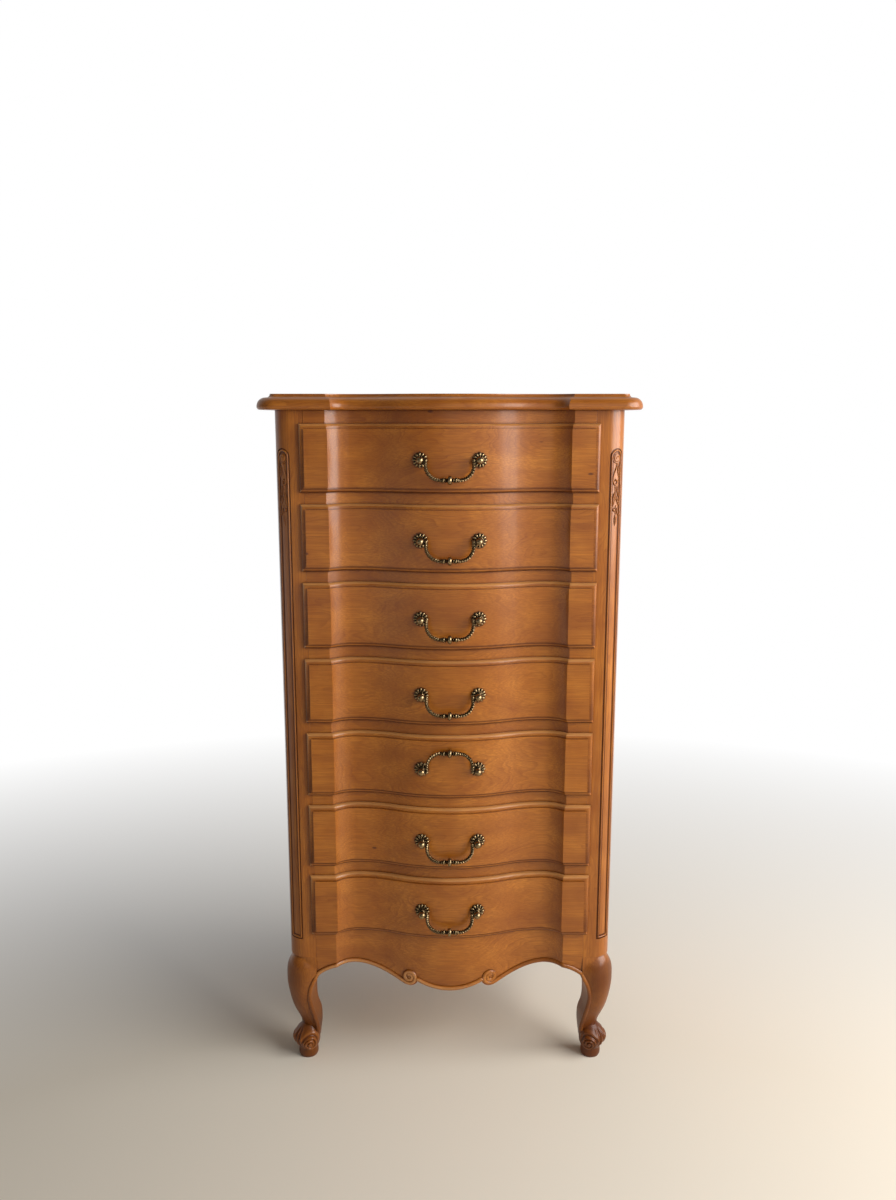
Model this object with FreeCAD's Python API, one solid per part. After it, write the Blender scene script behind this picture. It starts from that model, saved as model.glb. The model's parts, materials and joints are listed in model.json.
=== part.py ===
import FreeCAD, Part
import math
import os

# Tall seven-drawer chest with serpentine lipped drawers, rounded corner posts,
# cabriole front legs, a scalloped apron and drop handles.
# Millimetres, +Z up, floor at Z = 0, front towards -Y, centred on X = 0.

V = FreeCAD.Vector

# Case
CASE_WIDTH = 610.0
CASE_DEPTH = 390.0
LEG_HEIGHT = 269.5
TOP_THICKNESS = 27.0
TOP_OVERHANG = 27.0
TOP_REAR_OVERHANG = 8.0
POST_WIDTH = 52.0
POST_ROUND = 32.0
REAR_POST_WIDTH = 40.0
REAR_POST_DEPTH = 36.0
RAIL_DEPTH = 56.0
TENON_LENGTH = 20.0
TENON_CHEEK = 6.0
TENON_SHOULDER = 12.0
TENON_FACE = 14.0

# Drawer fronts and the rails between them
DRAWER_COUNT = 7
FRONT_HEIGHT = 118.5
RAIL_SHOWN = 20.0
TOP_RAIL_SHOWN = 23.0
LIP_LAP_X = 7.0
LIP_LAP_Z = 4.0
LIP_PROUD = 11.0
LIP_ROUND = 6.0
FIELD_STEP = 3.0
FIELD_EDGE = 9.0

# Serpentine line of the front in plan
FLAT_WIDTH = 50.0
COVE_WIDTH = 37.0
COVE_DEPTH = 17.5
BOW = 14.0
BOW_SHARE = 0.607
FRONT_WEB = 13.0

# Moulded edge of the top
TOP_EDGE_INSET = 23.0
TOP_LEDGE = 6.0
TOP_OVOLO = 15.0
TOP_NOSE = 5.0
TOP_CORNER = TOP_EDGE_INSET + 12.0
RIM_CHORDS = 6

# Sunk panel on the rounded corner of each front post
PANEL_DEPTH = 2.0
PANEL_SWEEP = 53.0
PANEL_TURN = 34.0
PANEL_DROP = 12.5
PANEL_BELOW_TOP = 65.0

# Apron
APRON_DROP = 109.5
APRON_END_DROP = 88.5
ARCH_DROP = 68.5
SCROLL_DROP = 86.5
SCROLL_X = 77.0
SCROLL_RADIUS = 18.0
EYE_RADIUS = 13.0
BEAD_WIDTH = 7.0
BEAD_PROUD = 1.5

# Front leg and foot
KNEE_DROP = 49.5
KNEE_OUT = 10.0
ANKLE_IN = 12.5
VOLUTE_RADIUS = 18.0
VOLUTE_LENGTH = 32.0
VOLUTE_SET = 25.5
VOLUTE_RISE = 35.0
PAD_SET = 28.5
PAD_RADIUS = 19.5
PAD_TAPER = 2.0
PAD_HEIGHT = 20.0

# Side and back frames
SIDE_RAIL_INSET = 2.0
SIDE_RAIL_THICKNESS = 20.0
SIDE_RAIL_HEIGHT = 62.0
SIDE_APRON_RISE = 46.0
SIDE_PANEL_INSET = 6.0
SIDE_PANEL_THICKNESS = 10.0
BACK_PANEL_THICKNESS = 8.0
BACK_REBATE = 10.0
BACK_RAIL_THICKNESS = 20.0
BACK_RAIL_HEIGHT = 60.0
BACK_RAIL_DROP = 12.0
PANEL_LAP = 8.0
BOTTOM_THICKNESS = 6.0

# Runners
RUNNER_REACH = 18.0
RUNNER_HEIGHT = 20.0
GUIDE_HEIGHT = 16.0
TONGUE_LENGTH = 10.0
TONGUE_THICKNESS = 8.0

# Screws that hold the top
SCREW_RADIUS = 2.2
SCREW_HEAD_RADIUS = 4.4
SCREW_HEAD_HEIGHT = 3.0
SCREW_BITE = 14.0
SCREW_SHARES = (0.12, 0.5, 0.88)

# Drawer boxes
SIDE_THICKNESS = 12.0
BOX_BACK_THICKNESS = 10.0
BOX_BACK_SET = 12.0
BOX_BOTTOM_THICKNESS = 5.0
GROOVE_DEPTH = 5.0
GROOVE_RISE = 8.0
BOX_REAR_SPACE = 30.0
TAIL_COUNT = 3
TAIL_LENGTH = 16.0
PIN_HALF = 6.0

# Drop handles
PULL_X = 51.0
PULL_STANDOFF = 19.0
PULL_BELOW_MIDDLE = 2.0
ROSETTE_RADIUS = 14.0
NECK_RADIUS = 4.0
BALL_RADIUS = 6.5
SHANK_RADIUS = 2.5
BOLT_END = 6.0
NUT_RADIUS = 4.6
NUT_THICKNESS = 4.0
PIVOT_RADIUS = 2.0
ARM_RADIUS = 2.8
KNUCKLE_RADIUS = 3.0
BAIL_DROP = 33.5
BAIL_BEND = 22.0
GRIP_HALF = 16.0
GRIP_RING_RADIUS = 7.5
RAISED_BAIL = 5

# Clearances
RUN_GAP = 0.3
LIP_GAP = 0.3
SIDE_GAP = 1.0
HEAD_GAP = 2.0
PIVOT_GAP = 0.06
BOLT_GAP = 0.25
PANEL_GAP = 1.0
BAIL_GAP = 0.35
KNUCKLE_GAP = 0.5

# Levels and planes that follow from the sizes above
HALF_CASE = CASE_WIDTH / 2
OPEN_HALF = HALF_CASE - POST_WIDTH
FRONT_HALF = OPEN_HALF + LIP_LAP_X
BOX_HALF = OPEN_HALF - SIDE_GAP
PITCH = FRONT_HEIGHT + RAIL_SHOWN
RAIL_THICKNESS = RAIL_SHOWN + 2 * LIP_LAP_Z
OPEN_LOW = LEG_HEIGHT + LIP_LAP_Z
OPEN_HEIGHT = FRONT_HEIGHT - 2 * LIP_LAP_Z
LAST_FRONT_TOP = LEG_HEIGHT + DRAWER_COUNT * PITCH - RAIL_SHOWN
CASE_TOP = LAST_FRONT_TOP + TOP_RAIL_SHOWN
HEIGHT = CASE_TOP + TOP_THICKNESS
KNEE_TOP = LEG_HEIGHT - KNEE_DROP
PANEL_LOW = LEG_HEIGHT - PANEL_DROP
APRON_LOW = LEG_HEIGHT - APRON_DROP
APRON_END = LEG_HEIGHT - APRON_END_DROP
ARCH_TOP = LEG_HEIGHT - ARCH_DROP
SCROLL_Z = LEG_HEIGHT - SCROLL_DROP
SIDE_APRON_TOP = LEG_HEIGHT + SIDE_APRON_RISE

ARRIS_X = FRONT_HALF - FLAT_WIDTH
VALLEY_X = ARRIS_X - COVE_WIDTH
BOW_TURN = 2 * math.atan((COVE_DEPTH + BOW) / VALLEY_X)
BOW_RADIUS = BOW_SHARE * VALLEY_X / math.sin(BOW_TURN)
DIP_RADIUS = (1 - BOW_SHARE) * VALLEY_X / math.sin(BOW_TURN)
COVE_RADIUS = (COVE_WIDTH ** 2 + COVE_DEPTH ** 2) / (2 * COVE_DEPTH)

PULL_FACE = BOW - BOW_RADIUS + math.sqrt(BOW_RADIUS ** 2 - PULL_X ** 2)
PIVOT_REACH = PULL_FACE + PULL_STANDOFF
FRONT_REACH = max(PIVOT_REACH + GRIP_RING_RADIUS, TOP_OVERHANG - LIP_PROUD + BOW)
DEPTH = FRONT_REACH + LIP_PROUD + CASE_DEPTH + TOP_REAR_OVERHANG
Y_FACE = FRONT_REACH - DEPTH / 2
Y_POST = Y_FACE + LIP_PROUD
Y_BACK = Y_POST + CASE_DEPTH
Y_TOP_REAR = Y_BACK + TOP_REAR_OVERHANG
Y_RAIL_REAR = Y_POST + RAIL_DEPTH
Y_APRON_REAR = Y_POST + COVE_DEPTH + FRONT_WEB
Y_POST_REAR = Y_POST + POST_WIDTH
Y_REAR_POST = Y_BACK - REAR_POST_DEPTH
Y_BACK_RAIL = Y_BACK - BACK_PANEL_THICKNESS - BACK_RAIL_THICKNESS
Y_FRONT_REAR = Y_FACE + COVE_DEPTH + FRONT_WEB
Y_TAIL = Y_FRONT_REAR - TAIL_LENGTH
Y_BOX_REAR = Y_BACK_RAIL - BOX_REAR_SPACE
Y_PIVOT = Y_FACE - PIVOT_REACH
LIP_REAR = LIP_PROUD - LIP_GAP
ARM_X = PULL_X - BALL_RADIUS - KNUCKLE_GAP - KNUCKLE_RADIUS

BOX_LOW = OPEN_LOW + RUN_GAP
BOX_TOP = OPEN_LOW + OPEN_HEIGHT - HEAD_GAP
PULL_Z = LEG_HEIGHT + FRONT_HEIGHT / 2 - PULL_BELOW_MIDDLE
BAIL_LEAN = math.degrees(math.asin((PIVOT_REACH - BOW - GRIP_RING_RADIUS - BAIL_GAP) / BAIL_DROP))


def line(a, b):
    return Part.LineSegment(a, b).toShape()


def arc(a, b, c):
    return Part.Arc(a, b, c).toShape()


def chain(points):
    return [line(a, b) for a, b in zip(points, points[1:])]


def box(x0, x1, y0, y1, z0, z1):
    return Part.makeBox(x1 - x0, y1 - y0, z1 - z0, V(x0, y0, z0))


def polygon(points, direction):
    """A flat outline, closed and drawn out along a vector."""
    return Part.Face(Part.Wire(chain(points + points[:1]))).extrude(direction)


def mirrored(shape):
    return shape.mirror(V(0, 0, 0), V(1, 0, 0))


def moved(shape, x=0.0, y=0.0, z=0.0):
    copy = shape.copy()
    copy.translate(V(x, y, z))
    return copy


def joined(shapes):
    return shapes[0].fuse(shapes[1:]).removeSplitter()


def save(name, *shapes):
    """Writes one node, with every solid of the shapes in it."""
    solids = [solid for shape in shapes for solid in shape.Solids]
    whole = solids[0] if len(solids) == 1 else Part.makeCompound(solids)
    whole.exportStep(os.path.join("parts", name + ".step"))


def front_line(half, back):
    """Edges of the serpentine line from left to right, parallel to the drawer faces and behind them."""
    cove_centre = COVE_RADIUS - COVE_DEPTH
    cove_turn = math.acos((cove_centre + back) / (COVE_RADIUS + back))

    def point(x, forward):
        return V(x, Y_FACE - forward, 0)

    def cove(side, turn):
        radius = COVE_RADIUS + back
        return point(side * (VALLEY_X + radius * math.sin(turn)), cove_centre - radius * math.cos(turn))

    def dip(side, turn):
        radius = DIP_RADIUS + back
        return point(side * (VALLEY_X - radius * math.sin(turn)),
                     DIP_RADIUS - COVE_DEPTH - radius * math.cos(turn))

    def bow(turn):
        radius = BOW_RADIUS - back
        return point(radius * math.sin(turn), BOW - BOW_RADIUS + radius * math.cos(turn))

    return [
        line(point(-half, -back), cove(-1, cove_turn)),
        arc(cove(-1, cove_turn), cove(-1, cove_turn / 2), cove(-1, 0)),
        arc(dip(-1, 0), dip(-1, BOW_TURN / 2), dip(-1, BOW_TURN)),
        arc(bow(-BOW_TURN), bow(0), bow(BOW_TURN)),
        arc(dip(1, BOW_TURN), dip(1, BOW_TURN / 2), dip(1, 0)),
        arc(cove(1, 0), cove(1, cove_turn / 2), cove(1, cove_turn)),
        line(cove(1, cove_turn), point(half, -back)),
    ]


def serpentine_board(half, back, y_rear, z0, z1):
    """A board with the serpentine line in front and a flat rear."""
    y_flat = Y_FACE + back
    rear = [V(half, y_flat, 0), V(half, y_rear, 0), V(-half, y_rear, 0), V(-half, y_flat, 0)]
    board = Part.Face(Part.Wire(front_line(half, back) + chain(rear))).extrude(V(0, 0, z1 - z0))
    board.translate(V(0, 0, z0))
    return board


def swept(path, section):
    """A closed section carried along a level path, mitred at its corners."""
    pipe = Part.BRepOffsetAPI.MakePipeShell(Part.Wire(path))
    pipe.add(section)
    pipe.setTransitionMode(2)
    pipe.setBiNormalMode(V(0, 0, 1))
    pipe.build()
    pipe.makeSolid()
    return pipe.shape()


# Drawer fronts

def lip_outline(low, high, field, rear, point):
    """Section of a lipped front: quarter-round lip, small step, raised field."""
    bend = LIP_ROUND * (1 - math.sqrt(0.5))
    shoulder = FIELD_STEP + LIP_ROUND

    def end(at, inward):
        return (point(shoulder, at), point(FIELD_STEP + bend, at + inward * bend),
                point(FIELD_STEP, at + inward * LIP_ROUND), point(FIELD_STEP, at + inward * FIELD_EDGE),
                point(field, at + inward * FIELD_EDGE))

    a, b = end(low, 1), end(high, -1)
    edges = [line(point(rear, low), a[0]), arc(a[0], a[1], a[2])]
    edges += chain([a[2], a[3], a[4], b[4], b[3], b[2]])
    edges += [arc(b[2], b[1], b[0])]
    edges += chain([b[0], point(rear, high), point(rear, low)])
    return Part.Wire(edges)


def drawer_front():
    low, high = LEG_HEIGHT, LEG_HEIGHT + FRONT_HEIGHT
    section = lip_outline(low, high, 0.0, LIP_REAR, lambda back, z: V(-FRONT_HALF, Y_FACE + back, z))
    slab = swept(front_line(FRONT_HALF, 0.0), section)
    slab_rear = COVE_DEPTH + LIP_PROUD
    ends = lip_outline(-FRONT_HALF, FRONT_HALF, -2 * BOW, slab_rear, lambda back, x: V(x, Y_FACE + back, low))
    slab = slab.common(Part.Face(ends).extrude(V(0, 0, FRONT_HEIGHT)))
    plug = serpentine_board(BOX_HALF, LIP_REAR / 2, Y_FRONT_REAR, BOX_LOW, BOX_TOP)
    return joined([slab, plug])


def drawer_side():
    """Left side board with its dovetails at the front end."""
    step = (BOX_TOP - BOX_LOW) / TAIL_COUNT
    neck = step / 2 - PIN_HALF
    tip = neck + TAIL_LENGTH / 6
    outline = [(Y_BOX_REAR, BOX_LOW), (Y_FRONT_REAR, BOX_LOW)]
    for index in range(TAIL_COUNT):
        middle = BOX_LOW + (index + 0.5) * step
        outline += [(Y_FRONT_REAR, middle - neck), (Y_TAIL, middle - tip),
                    (Y_TAIL, middle + tip), (Y_FRONT_REAR, middle + neck)]
    outline += [(Y_FRONT_REAR, BOX_TOP), (Y_BOX_REAR, BOX_TOP)]
    return polygon([V(-BOX_HALF, y, z) for y, z in outline], V(SIDE_THICKNESS, 0, 0))


def rosette():
    """Right rosette with its neck, ball head and bolt, the pivot hole opening towards the middle."""
    slope = math.degrees(math.asin(PULL_X / BOW_RADIUS))
    rim = ROSETTE_RADIUS
    petals = [(0, -1), (rim, -1), (rim, 1.5), (rim - 2, 2.8), (rim - 6, 3.4), (rim - 8, 5.0), (0, 5.0)]
    plate = Part.Face(Part.Wire(chain([V(r, -f, 0) for r, f in petals + petals[:1]])))
    plate = plate.revolve(V(0, 0, 0), V(0, 1, 0), 360)
    plate.rotate(V(0, 0, 0), V(0, 0, 1), slope)
    neck = Part.makeCylinder(NECK_RADIUS, PULL_STANDOFF, V(0, 0, 0), V(0, -1, 0))
    ball = Part.makeSphere(BALL_RADIUS, V(0, -PULL_STANDOFF, 0))
    bolt_length = Y_FRONT_REAR - Y_FACE + PULL_FACE + BOLT_END
    bolt = Part.makeCylinder(SHANK_RADIUS, bolt_length, V(0, 0, 0), V(0, 1, 0))
    hole_start = V(-BALL_RADIUS - 1, -PULL_STANDOFF, 0)
    hole = Part.makeCylinder(PIVOT_RADIUS + PIVOT_GAP, BALL_RADIUS + 3, hole_start, V(1, 0, 0))
    head = joined([plate, neck, ball]).cut(hole)
    return moved(head, PULL_X, Y_FACE - PULL_FACE, PULL_Z), moved(bolt, PULL_X, Y_FACE - PULL_FACE, PULL_Z)


def bolt_nut():
    corners = [V(PULL_X + NUT_RADIUS * math.cos(a), Y_FRONT_REAR, PULL_Z + NUT_RADIUS * math.sin(a))
               for a in (math.radians(60 * k) for k in range(6))]
    return polygon(corners, V(0, NUT_THICKNESS, 0))


def bail():
    """Drop handle hanging straight down from its two pivots."""
    def at(x, z):
        return V(x, Y_PIVOT, PULL_Z + z)

    radius = min(BAIL_BEND, ARM_X - GRIP_HALF - ARM_RADIUS)
    bend = radius * (1 - math.sqrt(0.5))
    turn_z = radius - BAIL_DROP
    turn_x = ARM_X - radius
    arm_path = [line(at(ARM_X, 0), at(ARM_X, turn_z)),
                arc(at(ARM_X, turn_z), at(ARM_X - bend, bend - BAIL_DROP), at(turn_x, -BAIL_DROP))]
    ring = Part.Wire(Part.makeCircle(ARM_RADIUS, at(ARM_X, 0), V(0, 0, 1)))
    arm = Part.Wire(arm_path).makePipeShell([ring], True, True)
    knuckle = Part.makeSphere(KNUCKLE_RADIUS, at(ARM_X, 0))
    pin = Part.makeCylinder(PIVOT_RADIUS, PULL_X + 1 - ARM_X, at(ARM_X, 0), V(1, 0, 0))
    half = joined([arm, knuckle, pin])
    stem = ARM_RADIUS
    bulb, collar = 0.65 * GRIP_RING_RADIUS, 0.75 * GRIP_RING_RADIUS
    turned = [(1.0, stem), (0.96, 0.86 * bulb), (0.79, bulb), (0.61, 0.86 * bulb), (0.57, stem), (0.46, stem),
              (0.43, bulb), (0.35, bulb), (0.32, stem), (0.24, collar), (0.16, 0.92 * GRIP_RING_RADIUS),
              (0.06, GRIP_RING_RADIUS)]
    outline = [(-turn_x, 0), (-turn_x, stem)] + [(-share * GRIP_HALF, radius) for share, radius in turned]
    outline += [(-x, radius) for x, radius in reversed(outline)]
    grip = Part.Face(Part.Wire(chain([at(x, r - BAIL_DROP) for x, r in outline + outline[:1]])))
    grip = grip.revolve(at(0, -BAIL_DROP), V(1, 0, 0), 360)
    return joined([half, mirrored(half), grip])


def make_drawers():
    """All drawers are alike; only the fifth has its handle turned up."""
    side = drawer_side()
    panel = box(-BOX_HALF + SIDE_THICKNESS - GROOVE_DEPTH, BOX_HALF - SIDE_THICKNESS + GROOVE_DEPTH,
                Y_FRONT_REAR - GROOVE_DEPTH, Y_BOX_REAR,
                BOX_LOW + GROOVE_RISE, BOX_LOW + GROOVE_RISE + BOX_BOTTOM_THICKNESS)
    back = box(-BOX_HALF + SIDE_THICKNESS - GROOVE_DEPTH, BOX_HALF - SIDE_THICKNESS + GROOVE_DEPTH,
               Y_BOX_REAR - BOX_BACK_SET - BOX_BACK_THICKNESS, Y_BOX_REAR - BOX_BACK_SET,
               BOX_LOW + GROOVE_RISE + BOX_BOTTOM_THICKNESS, BOX_TOP - GROOVE_RISE)
    front = drawer_front().cut([side, mirrored(side), panel])
    for x in (-PULL_X, PULL_X):
        start = V(x, Y_FACE - 2 * BOW, PULL_Z)
        front = front.cut(Part.makeCylinder(SHANK_RADIUS + BOLT_GAP, CASE_DEPTH, start, V(0, 1, 0)))
    side = side.cut([panel, back])
    head, bolt = rosette()
    pull = joined([head.cut(front), bolt])
    nut = bolt_nut().cut(bolt)
    hanging = bail()
    raised = hanging.copy()
    raised.rotate(V(0, Y_PIVOT, PULL_Z), V(-1, 0, 0), 180 + BAIL_LEAN)
    for number in range(1, DRAWER_COUNT + 1):
        name = "drawer_%d_" % number
        rise = (DRAWER_COUNT - number) * PITCH
        save(name + "front", moved(front, z=rise))
        save(name + "sides", moved(side, z=rise), moved(mirrored(side), z=rise))
        save(name + "back", moved(back, z=rise))
        save(name + "bottom", moved(panel, z=rise))
        fittings = [moved(shape, z=rise) for shape in (pull, nut)]
        save(name + "rosettes", *fittings, *[mirrored(shape) for shape in fittings])
        save(name + "bail", moved(raised if number == RAISED_BAIL else hanging, z=rise))


# Case

def post_section(z, outer, front_inner, rear_inner, rounding):
    """Level section of the right front post or leg, alike towards the front and the side."""
    def at(a, b):
        return V(HALF_CASE - a, Y_POST + b, z)

    bend = outer + rounding * (1 - math.sqrt(0.5))
    corner = arc(at(outer, outer + rounding), at(bend, bend), at(outer + rounding, outer))
    points = [at(outer + rounding, outer), at(front_inner, outer), at(rear_inner, rear_inner),
              at(outer, front_inner), at(outer, outer + rounding)]
    return Part.Wire([corner] + chain(points))


def front_leg():
    """Right cabriole leg: knee, ankle, volute and round pad."""
    knee, ankle = -KNEE_OUT, ANKLE_IN
    stations = (
        (1.00, 0.0, 0.0, 0.0, 0.0),
        (0.95, 0.55 * knee, 0.0, 0.0, 0.0),
        (0.83, knee, -1.0, 0.0, -1.0),
        (0.72, 0.93 * knee, -11.5, -3.0, -4.0),
        (0.62, 0.47 * knee, -16.0, -6.0, -10.0),
        (0.51, 0.14 * ankle, -14.0, -5.5, -16.0),
        (0.395, 0.61 * ankle, -8.0, -1.0, -20.0),
        (0.308, ankle, -4.0, 1.5, -22.0),
        (0.21, 1.1 * ankle, -2.0, 1.0, -22.0),
        (0.077, 1.1 * ankle, -2.0, -2.0, -22.0),
    )
    sections = [post_section(share * KNEE_TOP, outer, POST_WIDTH + front, POST_WIDTH + rear, POST_ROUND + bend)
                for share, outer, front, rear, bend in stations]
    leg = Part.makeLoft(sections, True, False)
    across = V(1, 1, 0).normalize()
    middle = V(HALF_CASE - VOLUTE_SET, Y_POST + VOLUTE_SET, VOLUTE_RISE)
    volute = Part.makeCylinder(VOLUTE_RADIUS, VOLUTE_LENGTH, middle - across * (VOLUTE_LENGTH / 2), across)
    pad_centre = V(HALF_CASE - PAD_SET, Y_POST + PAD_SET, 0)
    pad = Part.makeCone(PAD_RADIUS - PAD_TAPER, PAD_RADIUS, PAD_HEIGHT, pad_centre, V(0, 0, 1))
    return joined([leg, volute, pad])


def sunk_panel():
    """Tool for the long sunk panel on the right post, round at the top."""
    centre = V(HALF_CASE - POST_ROUND, Y_POST + POST_ROUND, 0)
    outer, inner = POST_ROUND + 1, POST_ROUND - PANEL_DEPTH
    half = math.radians(PANEL_SWEEP / 2)
    facing = math.radians(PANEL_TURN - 90)

    def at(radius, turn):
        angle = turn + facing
        return centre + V(radius * math.cos(angle), radius * math.sin(angle), PANEL_LOW)

    ring = Part.Wire([arc(at(inner, -half), at(inner, 0), at(inner, half)),
                      line(at(inner, half), at(outer, half)),
                      arc(at(outer, half), at(outer, 0), at(outer, -half)),
                      line(at(outer, -half), at(inner, -half))])
    tool = Part.Face(ring).extrude(V(0, 0, CASE_TOP - PANEL_BELOW_TOP - PANEL_LOW))
    reach = POST_ROUND * math.sin(half)
    outward = V(math.cos(facing), math.sin(facing), 0)
    spring = centre + V(0, 0, CASE_TOP - PANEL_BELOW_TOP - reach)
    arch = Part.makeCylinder(reach + 0.01, 2 * POST_ROUND, spring, outward)
    size = CASE_WIDTH
    below = box(-size, size, -size, size, 0, spring.z)
    return tool.common(joined([arch, below]))


def front_post():
    shaft = Part.Face(post_section(KNEE_TOP, 0.0, POST_WIDTH, POST_WIDTH, POST_ROUND))
    shaft = shaft.extrude(V(0, 0, CASE_TOP - KNEE_TOP))
    return joined([shaft, front_leg()]).cut(sunk_panel())


def rear_post():
    """Right rear post with a leg curved to the side only, rebated for the back panel."""
    stations = ((CASE_TOP, 0.0, 0.0), (KNEE_TOP, 0.0, 0.0), (0.82 * KNEE_TOP, -4.0, -1.0),
                (0.60 * KNEE_TOP, 4.0, -3.0), (0.38 * KNEE_TOP, 14.0, 4.0), (0.0, 8.0, 10.0))

    def section(z, outer, inner):
        x0, x1 = HALF_CASE - REAR_POST_WIDTH - inner, HALF_CASE - outer
        corners = [V(x0, Y_REAR_POST, z), V(x1, Y_REAR_POST, z), V(x1, Y_BACK, z), V(x0, Y_BACK, z)]
        return Part.Wire(chain(corners + corners[:1]))

    wires = [section(*station) for station in stations]
    shaft = Part.makeLoft(wires[:2], True, True)
    leg = Part.makeLoft(wires[1:], True, False)
    return joined([shaft, leg])


def rail_tenon(x_end, y0, y1, z0, z1):
    """A tenon at each end of a rail that runs from side to side."""
    right = box(x_end, x_end + TENON_LENGTH, y0, y1, z0, z1)
    return [right, mirrored(right)]


def front_rail(low, high):
    rail = serpentine_board(OPEN_HALF, LIP_PROUD, Y_RAIL_REAR, low, high)
    quarter = (high - low) / 4
    tenons = rail_tenon(OPEN_HALF, Y_POST + TENON_FACE, Y_POST_REAR - TENON_CHEEK,
                        low + quarter, high - quarter)
    return joined([rail] + tenons)


def apron_outline(inset):
    """Lower edge of the apron from left to right, raised by an inset; the points are X and Z."""
    radius = SCROLL_RADIUS - inset
    meet = math.radians(25)
    low = APRON_LOW + inset
    notch_x = SCROLL_X - 0.9 * radius

    def at(x, z):
        return V(x, 0, z)

    def swing():
        start = at(-OPEN_HALF, APRON_END + inset)
        scroll = at(-SCROLL_X - radius * math.sin(meet), SCROLL_Z - radius * math.cos(meet))
        span = scroll.x - start.x
        dip = 0.9 * (APRON_END_DROP - ARCH_DROP)
        rises = ((0.22, 0.1), (0.44, 0.0), (0.72, 0.68))
        knots = [at(start.x + share * span, ARCH_TOP - fall * dip + inset) for share, fall in rises]
        knots = [start] + knots + [scroll]
        curve = Part.BSplineCurve()
        curve.interpolate(knots)
        return curve.toShape()

    def scroll_arc():
        first, last = -meet, math.asin(0.9)
        turns = (first, (first + last) / 2, last)
        return arc(*[at(-SCROLL_X + radius * math.sin(t), SCROLL_Z - radius * math.cos(t)) for t in turns])

    notch_z = SCROLL_Z - radius * math.cos(math.asin(0.9))
    left = [swing(), scroll_arc()]
    middle = arc(at(-notch_x, notch_z), at(0, low), at(notch_x, notch_z))
    right = [mirrored(edge) for edge in reversed(left)]
    return left + [middle] + right


def apron():
    shape = serpentine_board(OPEN_HALF, LIP_PROUD, Y_APRON_REAR, 0, OPEN_LOW)
    ahead = serpentine_board(OPEN_HALF, LIP_PROUD - BEAD_PROUD, Y_APRON_REAR, 0, OPEN_LOW)

    def above(inset):
        top = [V(OPEN_HALF, 0, APRON_END + inset), V(OPEN_HALF, 0, OPEN_LOW), V(-OPEN_HALF, 0, OPEN_LOW),
               V(-OPEN_HALF, 0, APRON_END + inset)]
        edges = Part.__sortEdges__(apron_outline(inset) + chain(top))
        region = Part.Face(Part.Wire(edges)).extrude(V(0, CASE_DEPTH, 0))
        return moved(region, y=Y_FACE - 2 * BOW)

    board = above(0.0)
    bead = ahead.common(board.cut(above(BEAD_WIDTH)))
    volutes = []
    for x in (-SCROLL_X, SCROLL_X):
        eye = Part.makeCylinder(EYE_RADIUS, CASE_DEPTH, V(x, Y_FACE - 2 * BOW, SCROLL_Z), V(0, 1, 0))
        volutes.append(ahead.common(eye))
    tenons = rail_tenon(OPEN_HALF, Y_POST + TENON_FACE, Y_APRON_REAR - TENON_CHEEK,
                        APRON_END + TENON_SHOULDER, OPEN_LOW - TENON_SHOULDER)
    return joined([shape.common(board), bead] + volutes + tenons)


def quarter(inset, drop, radius, first):
    """Short chords of a quarter circle in the rim section, from a starting angle in degrees."""
    turns = [math.radians(first + 90 * step / RIM_CHORDS) for step in range(RIM_CHORDS + 1)]
    return [(inset - radius * math.cos(turn), drop - radius * math.sin(turn)) for turn in turns]


def top_board():
    """Top with the serpentine front, rounded front corners and a moulded rim on three sides."""
    half = HALF_CASE + TOP_OVERHANG
    back = LIP_PROUD - TOP_OVERHANG
    y_flat = Y_FACE + back
    bend = TOP_CORNER * (1 - math.sqrt(0.5))
    turn = [V(-half, y_flat + TOP_CORNER, 0), V(bend - half, y_flat + bend, 0),
            V(TOP_CORNER - half, y_flat, 0)]
    flank = [line(V(-half, Y_TOP_REAR, 0), turn[0]), arc(*turn)]
    path = flank + front_line(half - TOP_CORNER, back) + [mirrored(edge) for edge in reversed(flank)]
    path = Part.__sortEdges__(path)
    rear = line(V(half, Y_TOP_REAR, 0), V(-half, Y_TOP_REAR, 0))
    board = Part.Face(Part.Wire(path + [rear])).extrude(V(0, 0, TOP_THICKNESS))

    out = -3.0
    low = TOP_LEDGE + TOP_OVOLO
    cove = quarter(TOP_EDGE_INSET - TOP_LEDGE, 0.0, -TOP_LEDGE, 0)
    ovolo = quarter(TOP_OVOLO, low, TOP_OVOLO, 0)
    upper = [(out, low), (out, out), (TOP_EDGE_INSET, out)] + cove + ovolo[::-1]
    under = quarter(TOP_NOSE, TOP_THICKNESS - TOP_NOSE, TOP_NOSE, 270)
    under += [(out, TOP_THICKNESS - TOP_NOSE), (out, TOP_THICKNESS - out), (TOP_NOSE, TOP_THICKNESS - out)]
    for outline in (upper, under):
        points = [V(inset - half, Y_TOP_REAR, TOP_THICKNESS - drop) for inset, drop in outline]
        board = board.cut(swept(path, Part.Wire(chain(points + points[:1]))))
    return moved(board, z=CASE_TOP)


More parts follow.
